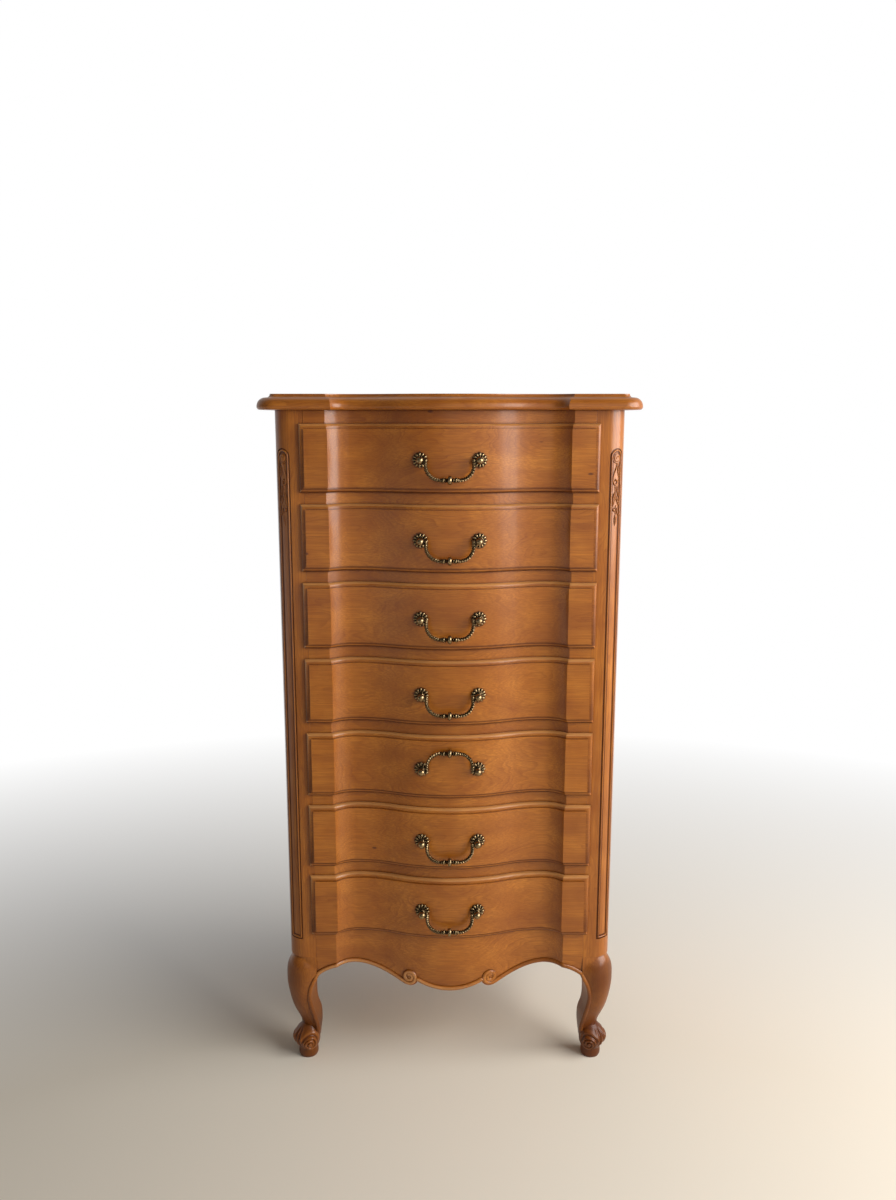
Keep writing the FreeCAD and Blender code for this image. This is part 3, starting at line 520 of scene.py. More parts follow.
    # Fibres and the parts darkened by old stain and painted shade are rougher than the lacquer, and mirror
    # less
    rough = add(tree, "ShaderNodeMath", {0: fibre, 1: 0.16, 2: look.lacquer - 0.08}, operation="MULTIPLY_ADD")
    rough = add(tree, "ShaderNodeMath", {0: aged, 1: 0.12, 2: rough}, operation="MULTIPLY_ADD")
    shine = add(tree, "ShaderNodeMath", {0: aged, 1: -0.28, 2: 0.43}, operation="MULTIPLY_ADD")
    height = add(tree, "ShaderNodeMath", {0: fleck, 1: -0.6, 2: fibre}, operation="MULTIPLY_ADD")
    bump = add(tree, "ShaderNodeBump", {"Height": height, "Strength": 0.22, "Distance": 0.0003})
    shader = add(tree, "ShaderNodeBsdfPrincipled", {
        "Base Color": wood, "Roughness": rough, "Normal": bump, "IOR": 1.5,
        "Specular IOR Level": shine, "Coat Weight": 0.22, "Coat Roughness": 0.18})
    add(tree, "ShaderNodeOutputMaterial", {"Surface": shader})
    return material


def raw_wood(wood, along):
    """Planed beech or poplar without lacquer: dull, pale, with straight veins along one axis."""
    material, tree = new_material("raw_%s_%s" % (wood, along.lower()))
    if tree is None:
        return material
    look = finish()
    pale, dark, vein = {"beech": (look.beech, look.beech_dark, 9),
                        "poplar": (look.poplar, look.poplar_dark, 22)}[wood]

    def grained(long, across):
        return [long if axis == along else across for axis in "XYZ"]

    where = add(tree, "ShaderNodeTexCoord").outputs["Object"]
    veins = mottle(tree, where, grained(150, vein), 4.0, Roughness=0.6, Distortion=0.6)
    flecks = mottle(tree, where, grained(14, 0.9), 1.0)
    planed = add(tree, "ShaderNodeValToRGB", {"Fac": veins}, stops=((0.35, pale), (0.70, dark)))
    marks = add(tree, "ShaderNodeValToRGB", {"Fac": flecks}, stops=((0.62, 0.0), (0.74, 0.5)))
    planed = add(tree, "ShaderNodeMix", {SHARE: marks, UNDER: planed, OVER: dark},
                 data_type="RGBA").outputs[MIXED]
    bump = add(tree, "ShaderNodeBump", {"Height": flecks, "Strength": 0.3, "Distance": 0.0003})
    shader = add(tree, "ShaderNodeBsdfPrincipled", {"Base Color": planed, "Roughness": 0.62, "Normal": bump})
    add(tree, "ShaderNodeOutputMaterial", {"Surface": shader})
    return material


def browned_brass():
    """Cast brass, browned and rubbed: dark in the hollows, warm and shiny on the high spots."""
    material, tree = new_material("browned_brass")
    if tree is None:
        return material
    look = finish()
    where = add(tree, "ShaderNodeTexCoord").outputs["Object"]
    grit = mottle(tree, where, (1.5, 1.5, 1.5), 4.0)
    open_air = add(tree, "ShaderNodeAmbientOcclusion", {"Distance": 0.004}, samples=6).outputs["AO"]
    rubbed = add(tree, "ShaderNodeMath", {0: open_air, 1: 0.65}, operation="MULTIPLY")
    rubbed = add(tree, "ShaderNodeMath", {0: grit, 1: 0.5, 2: rubbed}, operation="MULTIPLY_ADD")
    film = add(tree, "ShaderNodeValToRGB", {"Fac": rubbed}, stops=((0.76, 1.0), (0.99, 0.22)))
    metal = add(tree, "ShaderNodeMix", {SHARE: film, UNDER: look.brass, OVER: look.tarnish},
                data_type="RGBA").outputs[MIXED]
    rough = add(tree, "ShaderNodeValToRGB", {"Fac": film}, stops=((0.0, 0.12), (1.0, 0.34)))
    bump = add(tree, "ShaderNodeBump", {"Height": grit, "Strength": 0.25, "Distance": 0.0003})
    shader = add(tree, "ShaderNodeBsdfPrincipled", {"Base Color": metal, "Metallic": 1.0, "Roughness": rough,
                                                    "Normal": bump})
    add(tree, "ShaderNodeOutputMaterial", {"Surface": shader})
    return material


def zinc_steel():
    """Steel with a thin zinc coat: grey, slightly cloudy, half dull."""
    material, tree = new_material("zinc_steel")
    if tree is None:
        return material
    where = add(tree, "ShaderNodeTexCoord").outputs["Object"]
    rough = add(tree, "ShaderNodeValToRGB", {"Fac": mottle(tree, where, (2, 2, 2), 3.0)},
                stops=((0.3, 0.28), (0.7, 0.48)))
    shader = add(tree, "ShaderNodeBsdfPrincipled", {"Base Color": finish().zinc, "Metallic": 1.0,
                                                    "Roughness": rough})
    add(tree, "ShaderNodeOutputMaterial", {"Surface": shader})
    return material


# The finish that belongs to each material slot
FINISHES = {"cherry": lacquered_cherry, "antique_brass": browned_brass, "steel": zinc_steel}


def new_tree(name, *inputs):
    """A Geometry Nodes tree with a geometry in and out; returns it with its input sockets by name."""
    tree = bpy.data.node_groups.new(name, "GeometryNodeTree")
    tree.interface.new_socket(name="Geometry", in_out="INPUT", socket_type="NodeSocketGeometry")
    tree.interface.new_socket(name="Geometry", in_out="OUTPUT", socket_type="NodeSocketGeometry")
    for label, kind in inputs:
        tree.interface.new_socket(name=label, in_out="INPUT", socket_type="NodeSocket" + kind)
    return tree, tree.nodes.new("NodeGroupInput").outputs


def end_tree(tree, geometry, material):
    """Closes a tree: smooth faces, real points and the material."""
    smooth = add(tree, "GeometryNodeSetShadeSmooth", {"Geometry": geometry})
    real = add(tree, "GeometryNodeRealizeInstances", {"Geometry": smooth})
    dressed = add(tree, "GeometryNodeSetMaterial", {"Geometry": real, "Material": material})
    add(tree, "NodeGroupOutput", {"Geometry": dressed})
    return tree


def bead_tree():
    """A rounded bead along a line; each point holds the way out of the wood and a share of the size."""
    name = "Bead along a line"
    if name in bpy.data.node_groups:
        return bpy.data.node_groups[name]
    tree, given = new_tree(name, ("Width", "Float"), ("Height", "Float"), ("Sides", "Int"),
                           ("Material", "Material"))
    line = add(tree, "GeometryNodeMeshToCurve", {"Mesh": given["Geometry"]})
    outward = add(tree, "GeometryNodeInputNamedAttribute", {"Name": "outward"}, data_type="FLOAT_VECTOR")
    share = add(tree, "GeometryNodeInputNamedAttribute", {"Name": "share"}, data_type="FLOAT")
    line = add(tree, "GeometryNodeSetCurveNormal", {"Curve": line, "Normal": outward}, mode="FREE")
    line = add(tree, "GeometryNodeSetCurveRadius", {"Curve": line, "Radius": share})
    # The foot of the round section, where its X is near 0, gets painted shade where the bead meets the wood
    section = add(tree, "GeometryNodeCurvePrimitiveCircle", {"Resolution": given["Sides"], "Radius": 1.0})
    spot = add(tree, "ShaderNodeSeparateXYZ", {0: add(tree, "GeometryNodeInputPosition")})
    high = add(tree, "ShaderNodeMath", {0: spot.outputs["X"]}, operation="ABSOLUTE")
    dark = add(tree, "ShaderNodeMath", {0: high, 1: -1.7, 2: 1.25}, operation="MULTIPLY_ADD", use_clamp=True)
    section = add(tree, "GeometryNodeStoreNamedAttribute",
                  {"Geometry": section, "Name": "tone", "Value": dark}, data_type="FLOAT")
    half = add(tree, "ShaderNodeMath", {0: given["Width"], 1: 0.5}, operation="MULTIPLY")
    size = add(tree, "ShaderNodeCombineXYZ", {"X": given["Height"], "Y": half, "Z": 1.0})
    section = add(tree, "GeometryNodeTransform", {"Geometry": section, "Scale": size})
    bead = add(tree, "GeometryNodeCurveToMesh", {"Curve": line, "Profile Curve": section, "Fill Caps": True})
    return end_tree(tree, bead, given["Material"])


def rod_tree():
    """A twisted rod with three strands along a line of points."""
    name = "Twisted rod"
    if name in bpy.data.node_groups:
        return bpy.data.node_groups[name]
    tree, given = new_tree(name, ("Radius", "Float"), ("Turns", "Float"), ("Material", "Material"))
    line = add(tree, "GeometryNodeMeshToCurve", {"Mesh": given["Geometry"]})
    along = add(tree, "GeometryNodeSplineParameter").outputs["Factor"]
    angle = add(tree, "ShaderNodeMath", {0: given["Turns"], 1: 2 * math.pi}, operation="MULTIPLY")
    angle = add(tree, "ShaderNodeMath", {0: along, 1: angle}, operation="MULTIPLY")
    share = add(tree, "GeometryNodeInputNamedAttribute", {"Name": "share"}, data_type="FLOAT")
    line = add(tree, "GeometryNodeSetCurveRadius", {"Curve": line, "Radius": share})
    line = add(tree, "GeometryNodeSetCurveTilt", {"Curve": line, "Tilt": angle})
    notch = add(tree, "ShaderNodeMath", {0: given["Radius"], 1: 0.70}, operation="MULTIPLY")
    star = add(tree, "GeometryNodeCurveStar", {"Points": 3, "Inner Radius": notch,
                                               "Outer Radius": given["Radius"]})
    strands = add(tree, "GeometryNodeCurveSplineType", {"Curve": star}, spline_type="CATMULL_ROM")
    strands = add(tree, "GeometryNodeResampleCurve", {"Curve": strands, "Count": 18})
    rod = add(tree, "GeometryNodeCurveToMesh", {"Curve": line, "Profile Curve": strands, "Fill Caps": True})
    return end_tree(tree, rod, given["Material"])


def petal_tree():
    """A ring of petals about Z, leaning outwards, on every point of the geometry that comes in."""
    name = "Ring of petals"
    if name in bpy.data.node_groups:
        return bpy.data.node_groups[name]
    tree, given = new_tree(name, ("Petals", "Int"), ("Ring", "Float"), ("Petal", "Vector"), ("Lean", "Float"),
                           ("Material", "Material"))
    ring = add(tree, "GeometryNodeMeshCircle", {"Vertices": given["Petals"], "Radius": given["Ring"]})
    ball = add(tree, "GeometryNodeMeshUVSphere", {"Segments": 14, "Rings": 9, "Radius": 1.0})
    petal = add(tree, "GeometryNodeTransform", {"Geometry": ball, "Scale": given["Petal"]})
    spot = add(tree, "GeometryNodeInputPosition")
    aim = add(tree, "FunctionNodeAlignRotationToVector", {"Vector": spot}, axis="X")
    lean = add(tree, "ShaderNodeCombineXYZ", {"Y": given["Lean"]})
    aim = add(tree, "FunctionNodeRotateRotation", {"Rotation": aim, "Rotate By": lean},
              rotation_space="LOCAL")
    petals = add(tree, "GeometryNodeInstanceOnPoints", {"Points": ring, "Instance": petal, "Rotation": aim})
    whole = add(tree, "GeometryNodeInstanceOnPoints", {"Points": given["Geometry"], "Instance": petals})
    return end_tree(tree, whole, given["Material"])


def nail_tree():
    """Small round nail heads along lines of points, a fixed step apart."""
    tree, given = new_tree("Row of nails", ("Step", "Float"), ("Radius", "Float"), ("Material", "Material"))
    line = add(tree, "GeometryNodeMeshToCurve", {"Mesh": given["Geometry"]})
    stops = add(tree, "GeometryNodeResampleCurve", {"Curve": line, "Length": given["Step"]}, mode="LENGTH")
    ball = add(tree, "GeometryNodeMeshUVSphere", {"Segments": 12, "Rings": 6, "Radius": given["Radius"]})
    head = add(tree, "GeometryNodeTransform", {"Geometry": ball, "Scale": (1.0, 0.35, 1.0)})
    nails = add(tree, "GeometryNodeInstanceOnPoints", {"Points": stops, "Instance": head})
    return end_tree(tree, nails, given["Material"])


def grown(name, tree, points, edges, values, **stored):
    """The plain mesh that a tree makes of a line of points, with values for its named inputs."""
    mesh = bpy.data.meshes.new(name)
    mesh.from_pydata([tuple(p) for p in points], edges, [])
    for label, numbers in stored.items():
        numbers = np.asarray(numbers, np.float32)
        kind, slot = ("FLOAT_VECTOR", "vector") if numbers.ndim == 2 else ("FLOAT", "value")
        mesh.attributes.new(label, kind, "POINT").data.foreach_set(slot, numbers.ravel())
    seed = bpy.data.objects.new(name, mesh)
    bpy.context.scene.collection.objects.link(seed)
    change = seed.modifiers.new(tree.name, "NODES")
    change.node_group = tree
    sockets = {item.name: item.identifier for item in tree.interface.items_tree if item.in_out == "INPUT"}
    for label, value in values.items():
        change[sockets[label]] = value
    bpy.context.view_layer.update()
    made = plain_mesh(seed)
    form = bmesh.new()
    form.from_mesh(made)
    bmesh.ops.recalc_face_normals(form, faces=form.faces)
    form.to_mesh(made)
    form.free()
    return made


def chain_edges(count, closed=False):
    """Edges that join a row of points, back to the first one if it is closed."""
    edges = [(k, k + 1) for k in range(count - 1)]
    return edges + [(count - 1, 0)] if closed else edges


def bead(name, points, outward, width, height, share=1.0, closed=False, sides=16):
    """A moulding bead along a line, as a plain mesh."""
    count = len(points)
    values = {"Width": width, "Height": height, "Sides": sides, "Material": lacquered_cherry()}
    return grown(name, bead_tree(), points, chain_edges(count, closed), values,
                 outward=np.broadcast_to(outward, (count, 3)), share=np.broadcast_to(share, (count,)))


def merge_meshes(name, meshes):
    """One mesh from several plain ones."""
    form = bmesh.new()
    for mesh in meshes:
        form.from_mesh(mesh)
        bpy.data.meshes.remove(mesh)
    whole = bpy.data.meshes.new(name)
    form.to_mesh(whole)
    form.free()
    return whole


# Places that the frame gives

def post_planes():
    """Half the case's width and the front plane of its posts."""
    post = surface_of("front_post_right")
    low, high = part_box("front_post_right")
    middle, inset = 0.5 * high.z, 0.01
    inner = 0.5 * (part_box("drawer_1_front")[1].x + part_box("side_panel_right")[0].x)
    front = meet(post, (inner, low.y - 1, middle), (0, 1, 0)).y
    side = meet(post, (high.x + 1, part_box("front_top_rail")[1].y - inset, middle), (-1, 0, 0)).x
    return side, front


# Seeds of the random draws that lay the grain of each group; each board or drawer of a group has its own
SEEDS = {"boards": 40, "drawers": 7, "posts": 21, "apron": 90, "sides": 95}


def dress(node, material):
    """Gives a node that keeps its frame mesh its material."""
    NODES[node].data.materials.clear()
    NODES[node].data.materials.append(material)


class CHEST_OT_boards(bpy.types.Operator):
    """Copies the outer boards of the case with softened edges and lays their grain"""
    bl_idname = "chest.finish_boards"
    bl_label = "Finish the case boards"

    # Which way the grain runs in each outer board
    GRAIN = {"top_board": "X", "front_top_rail": "X", "drawer_rails": "X", "apron": "X",
             "side_rails_left": "Y", "side_rails_right": "Y", "side_panel_left": "Z", "side_panel_right": "Z",
             "rear_post_left": "Z", "rear_post_right": "Z"}
    # Boards drawn darker: how much at the floor, and at the height of the knees and above. On the drawer
    # rails it is an even painted shade under the lips; the rear posts are darker towards the floor
    TONE = {"drawer_rails": (0.06, 0.06), "rear_post_left": (0.8, 0.0), "rear_post_right": (0.8, 0.0)}
    # Inner boards keep their frame mesh: the way of their grain and their wood
    INNER = {"drawer_runners": ("Y", "beech"), "top_kickers": ("Y", "beech"), "back_rails": ("X", "beech"),
             "back_panel": ("Z", "poplar"), "bottom_board": ("X", "poplar")}

    def execute(self, context):
        for seed, (node, along) in enumerate(self.GRAIN.items(), SEEDS["boards"]):
            held = self.TONE.get(node, (0.0, 0.0))

            def stained(points):
                return np.interp(points[:, 2], (0.0, sizes().knee_top), held)

            mesh = softened(node, lines=node != "apron")
            lay_grain(mesh, along, seed, stained)
            place(node + "_finished", mesh, "case", "cherry", stands_for=[node])
        for node, (along, wood) in self.INNER.items():
            dress(node, raw_wood(wood, along))
        dress("top_screws", zinc_steel())
        return {"FINISHED"}


class CHEST_OT_drawers(bpy.types.Operator):
    """Copies the drawer fronts with softened edges, each from its own plank, and dresses the drawer boxes"""
    bl_idname = "chest.finish_drawers"
    bl_label = "Finish the drawers"

    # Heights above the front's foot where the painted shade below its raised field starts, is full and ends
    BAND = (0.0042, 0.0062, 0.0088)
    # Distances from the front's top to the end of its lip and of the field's edge; width of the left lip
    TOP_LIP, FIELD_EDGE, LEFT_LIP = 0.004, 0.013, 0.0075
    # How much a face looks down, up or left where the painted shade under a lip, the painted highlight on the
    # upper lip and the painted light on the left lip start and are full, and the tone there
    UNDER, WORN, RUBBED = ((0.35, 0.65), (0, 0.95)), ((0.2, 0.6), (0, -0.38)), ((0.1, 0.5), (0, -0.5))
    # Painted shade of the band, the most painted shade at the field's upper edge, and as much as hides the
    # painted light on the left lip
    BAND_STAIN, EDGE_STAIN, HIDING_STAIN = 0.9, 0.25, 0.2
    # The box behind the front: the way of the grain and the wood of each part
    BOX = {"sides": ("Y", "beech"), "back": ("X", "beech"), "bottom": ("X", "poplar")}

    def execute(self, context):
        first = "drawer_%s_front" % DRAWERS[0]
        pattern = softened(first, levels=self.BAND[:2])
        self.shade(pattern)
        for number in DRAWERS:
            node = "drawer_%s_front" % number
            mesh = pattern.copy()
            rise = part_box(node)[0].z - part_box(first)[0].z
            points = points_of(mesh)
            points[:, 2] += rise
            mesh.vertices.foreach_set("co", points.ravel())
            lay_grain(mesh, "X", SEEDS["drawers"] * int(number))
            place(node + "_finished", mesh, "drawer_" + number, "cherry", stands_for=[node])
            for part, (along, wood) in self.BOX.items():
                dress("drawer_%s_%s" % (number, part), raw_wood(wood, along))
        return {"FINISHED"}

    def shade(self, mesh):
        """Painted shade under the lips and below the raised field, painted light on the upper and the left
        lip.
        """
        points = points_of(mesh)
        facing = np.empty(points.size, np.float32)
        mesh.vertices.foreach_get("normal", facing)
        aside, forward, up = facing.reshape(-1, 3).T
        inward = points[:, 0] - points[:, 0].min()
        above, below = points[:, 2] - points[:, 2].min(), points[:, 2].max() - points[:, 2]
        held = np.empty(len(points), np.float32)
        mesh.attributes["tone"].data.foreach_get("value", held)
        # Painted shade kept faint on the creases at the top of the front
        held = np.where(below < self.FIELD_EDGE, np.minimum(held, self.EDGE_STAIN), held)
        # Painted shade under faces that look down and on the band below the raised field; a painted highlight
        # on the upper lip
        under = np.interp(-up, *self.UNDER)
        start, full, end = self.BAND
        band = np.interp(above, (start, full), (0, self.BAND_STAIN)) * (above < end) * (forward < -0.5)
        worn = np.interp(up, *self.WORN) * (below < self.TOP_LIP)
        held = np.where(worn < 0, worn, np.max((held, under, band), axis=0))
        # Painted light: the left-facing lip drawn paler
        rubbed = np.interp(-aside, *self.RUBBED) * (inward < self.LEFT_LIP) * (held < self.HIDING_STAIN)
        held = np.where(rubbed < 0, np.minimum(held, rubbed), held)
        mesh.attributes["tone"].data.foreach_set("value", held.astype(np.float32))


class CHEST_OT_legs(bpy.types.Operator):
    """Builds the front posts: the softened shaft, the cabriole leg below it and the carved foot"""
    bl_idname = "chest.carve_legs"
    bl_label = "Carve the front legs"

    # Old stain of each leg, more on the right one: on its knee, and on level and on raised parts of its foot,
    # with painted shade deeper in the foot's grooves
    STAIN = {"left": (0.50, 0.86, 0.42), "right": (0.90, 1.0, 0.85)}
    # Heights in metres and the ankle's stain there
    ANKLE = ((0.06, 0.09, 0.15, 0.219), (0.95, 0.66, 0.45, 0.05))
    # Heights of the knee's stain, and its share at two distances from the side of the case
    KNEE, INWARD = (0.10, 0.18, 0.202, 0.219), ((0.030, 0.050), (1, 0.5))
    # Height of the foot's carving over which the tone changes by one whole step: less on the ridges, painted
    # shade in the grooves
    RELIEF = 0.0042

    def execute(self, context):
        size = sizes()
        side, front = post_planes()
        for name, hand in HANDS.items():
            node, seed = "front_post_" + name, SEEDS["posts"] + hand
            knee, level, raised = self.STAIN[name]

            def world(a, b, z):
                """From inward distances of the side and the front plane to the frame."""
                return (hand * (side - a), front + b, z)

            def stained(points):
                """Stain on the ankle and on the outer swell of the knee."""
                outer = np.interp(side - np.abs(points[:, 0]), *self.INWARD)
                swell = np.interp(points[:, 2], self.KNEE, (0.45, knee, 0.9 * knee, 0.05))
                return np.maximum(np.interp(points[:, 2], *self.ANKLE), swell * outer)

            def hollowed(points):
                """Old stain on the foot, deepened by painted shade in its grooves, less on its ridges."""
                x, y, z = points.T
                middle = foot_centre(z)
                turn = np.arctan2(side - hand * x - middle, middle - y + front) + math.pi / 4
                turn = (turn + math.pi) % (2 * math.pi) - math.pi
                return np.clip(level - foot_relief(z, turn) / self.RELIEF, raised, 1.0)

            shaft = softened(node, keep_above=size.knee_top)
            lay_grain(shaft, "Z", seed)
            place(node + "_finished", shaft, "case", "cherry", stands_for=[node])
            leg = mesh_from("front_leg_" + name, leg_shape(size, world))
            lay_grain(leg, "Z", seed, stained)
            place("front_leg_" + name, leg, "case", "cherry", smooth=38)
            foot = mesh_from("front_foot_" + name, foot_shape(size, world))
            lay_grain(foot, "Z", seed, hollowed)
            place("front_foot_" + name, foot, "case", "cherry", smooth=60)
        return {"FINISHED"}


# The cabriole leg, in millimetres: height, inner edge, front edge, outermost point and inner corner
LEG = ((220, 52, 0, 0, 52), (185, 51, -3.5, -3.5, 50.5), (159, 40.5, -4, -3.5, 47), (136, 37, -1, -2.5, 45.5),
       (113, 40, 3.5, -1, 46.6), (85, 45.5, 10.5, 6, 52.6), (65, 48.8, 16, 12.5, 53.5), (30, 49, 20, 15, 50))
# How far the front of the leg is drawn out to its outermost point
FULLNESS = 0.45
# The knee's swelling, in metres: how far its crease lies below the knee's top and falls towards the edges,
# the depth over which it rises below the crease, and the heights where it starts and is full
CREASE_DROP, CREASE_FALL, KNEE_RISE, KNEE_START, KNEE_FULL = 0.001, 0.022, 0.030, 0.085, 0.180
# The foot, in millimetres: heights with the distance of its middle from the outer planes or with its radius
FOOT_MIDDLE = ((0, 28.5), (20, 28.5), (40, 28.0), (66, 31.5))
FOOT = ((0, 16.8), (3, 18.2), (10, 19.0), (15, 18.6), (19, 18.8), (24, 21.0), (32, 23.2), (42, 23.4),
        (52, 21.5), (60, 18.0), (66, 14.5))
# The toe: how far it swells along the diagonal, at which height and over which half height
TOE, TOE_HEIGHT, TOE_HALF = 0.0035, 0.043, 0.015
# A volute of the foot: the height of its eye and the radius of the foot there, in metres, the turn from the
# diagonal to the eye, and how far round the foot it reaches from there and fades
EYE_HEIGHT, FOOT_ROUND, VOLUTE_TURN, VOLUTE_REACH, VOLUTE_FADE = 0.033, 0.0245, math.radians(62), 1.35, 0.2
# Its radius, relief and slope in metres, and how much taller than wide it is
VOLUTE_ROUND, VOLUTE_DEEP, SLOPE, TALLER = 0.0146, 0.0034, 0.002, 1.12
# Its spiral groove: in metres the step between its turns and the radii where it starts and ends, and its
# half width and its start as shares of a turn
GROOVE_STEP, GROOVE_FROM, GROOVE_TO, GROOVE_HALF, GROOVE_START = 0.0058, 0.0018, 0.0125, 0.20, 0.55
# Its sunk rim and the brow above: radius, half width and height
RIM, BROW = (0.0160, 0.0011, -0.0010), (0.0200, 0.0030, 0.0018)
# The leaf between the volutes: half its width in radians, and in metres its foot and head, the length over
# which it rises from them and its relief
LEAF_TURN, LEAF_LOW, LEAF_HIGH, LEAF_RISE, LEAF_DEEP = 0.52, 0.024, 0.062, 0.006, 0.0015
# The wave of its ribs: radians per radian round the foot and per metre up it, and the height where it starts
RIBS_ROUND, RIBS_UP, RIBS_START = 17, 60, 0.04


def leg_values(heights):
    """Inner edge, front edge, outermost point and inner corner of the leg at each height, smoothly joined."""
    table = metres(LEG[::-1])
    return [smooth_through(table[:, 0], table[:, column], heights) for column in range(1, 5)]


def smooth_through(xs, ys, at):
    """A smooth curve through points, without overshoot at its ends."""
    slopes = np.gradient(ys, xs)
    at = np.clip(at, xs[0], xs[-1])
    span = np.clip(np.searchsorted(xs, at, side="right") - 1, 0, len(xs) - 2)
    step = xs[span + 1] - xs[span]
    t = (at - xs[span]) / step
    return ((2 * t ** 3 - 3 * t ** 2 + 1) * ys[span] + (t ** 3 - 2 * t ** 2 + t) * step * slopes[span]
            + (3 * t ** 2 - 2 * t ** 3) * ys[span + 1] + (t ** 3 - t ** 2) * step * slopes[span + 1])


def leg_shape(size, world, rows=110, across=44, inner=8):
    """The cabriole leg: a rounded front between two sharp edges, and two inner faces that meet behind."""
    heights = np.linspace(size.knee_top, LEG[-1][0] / 1000, rows)
    edge, face, out, back = leg_values(heights)
    shares = np.linspace(0, 1, across)
    points = []
    for row in range(rows):
        start = np.array((edge[row], face[row]))
        end = start[::-1]
        first = np.array((size.post_round * FULLNESS + out[row],
                          face[row] * (1 - FULLNESS) + out[row] * FULLNESS))
        second = first[::-1]
        front = ((1 - shares)[:, None] ** 3 * start + 3 * ((1 - shares) ** 2 * shares)[:, None] * first
                 + 3 * ((1 - shares) * shares ** 2)[:, None] * second + shares[:, None] ** 3 * end)
        # The knee swells below a crease that falls away from the outer corner
        away = np.abs(shares - 0.5) * 2
        crease = size.knee_top - CREASE_DROP - CREASE_FALL * away ** 2
        under = np.clip((crease - heights[row]) / KNEE_RISE, 0, 1)
        fade = np.interp(heights[row], (KNEE_START, KNEE_FULL), (0, 1))
        swell = size.knee_bulge * (1 - (1 - under) ** 2.6) * fade ** 0.8 * (1 - away ** 3)
        slope = np.gradient(front, axis=0)
        normal = np.stack((-slope[:, 1], slope[:, 0]), axis=1)
        normal /= np.linalg.norm(normal, axis=1)[:, None]
        if normal[across // 2].sum() > 0:
            normal = -normal
        front = front + normal * swell[:, None]
        corner = np.array((back[row], back[row]))
        turn = np.linspace(0, 1, inner + 1)[1:, None]
        left = end + (corner - end) * turn
        right = corner + (start - corner) * turn[:-1]
        points += [world(a, b, heights[row]) for a, b in np.concatenate((front, left, right))]
    return np.array(points), tube_faces(rows, across + 2 * inner - 1)


def foot_centre(height):
    """Distance of the foot's middle from the side and from the front plane at each height."""
    return smooth_through(*metres(FOOT_MIDDLE).T, height)


def foot_relief(height, turn):
    """Height of the carving on the foot: a volute on its two sides below a brow, and a leaf between them.

    Angle 0 points out along the diagonal, -45 and 45 degrees to the side and to the front.
    """
    def volute(facing):
        aside = (turn - facing + math.pi) % (2 * math.pi) - math.pi
        x, z = aside * FOOT_ROUND, (height - EYE_HEIGHT) / TALLER
        far = np.hypot(x, z)
        way = np.arctan2(z, x * np.sign(facing))
        near = np.clip(VOLUTE_REACH - np.abs(aside), 0, VOLUTE_FADE) / VOLUTE_FADE
        disc = np.clip((VOLUTE_ROUND - far) / SLOPE, 0, 1)
        lap = far / GROOVE_STEP - way / (2 * math.pi) + GROOVE_START
        groove = np.exp(-(((lap + 0.5) % 1 - 0.5) / GROOVE_HALF) ** 2)
        groove *= np.clip((GROOVE_TO - far) / SLOPE, 0, 1) * np.clip(far / GROOVE_FROM - 0.9, 0, 1)
        # The rim and the brow run over the upper half only
        over = np.clip(np.sin(way) * 2.2 + 0.1, 0, 1)
        ridges = sum(high * np.exp(-((far - radius) / half) ** 2) for radius, half, high in (RIM, BROW))
        return near * (VOLUTE_DEEP * (disc - groove) + over * ridges)

    leaf = np.clip(1 - (turn / LEAF_TURN) ** 2, 0, 1) * np.clip((height - LEAF_LOW) / LEAF_RISE, 0, 1)
    leaf *= np.clip((LEAF_HIGH - height) / LEAF_RISE, 0, 1)
    leaf *= LEAF_DEEP * np.cos(turn * RIBS_ROUND + (height - RIBS_START) * RIBS_UP * np.sign(turn))
    return volute(-VOLUTE_TURN) + volute(VOLUTE_TURN) + leaf


def foot_shape(size, world, rows=96, columns=180):
    """The carved foot: a round pad and, above it, a swelling with the carving on it."""
    heights = np.linspace(0, size.foot_top, rows)
    turns = np.linspace(-math.pi, math.pi, columns, endpoint=False)
    height, turn = np.meshgrid(heights, turns, indexing="ij")
    radius = smooth_through(*metres(FOOT).T, height) + foot_relief(height, turn)
    # The toe swells outwards along the diagonal
    radius += TOE * np.exp(-((height - TOE_HEIGHT) / TOE_HALF) ** 2) * np.clip(np.cos(turn), 0, 1) ** 0.7
    outward = turn - math.pi / 4
    a = foot_centre(height) - radius * np.cos(outward + math.pi / 2)
    b = foot_centre(height) - radius * np.cos(outward)
    points = [world(x, y, z) for x, y, z in zip(a.ravel(), b.ravel(), height.ravel())]
    return np.array(points), tube_faces(rows, columns)


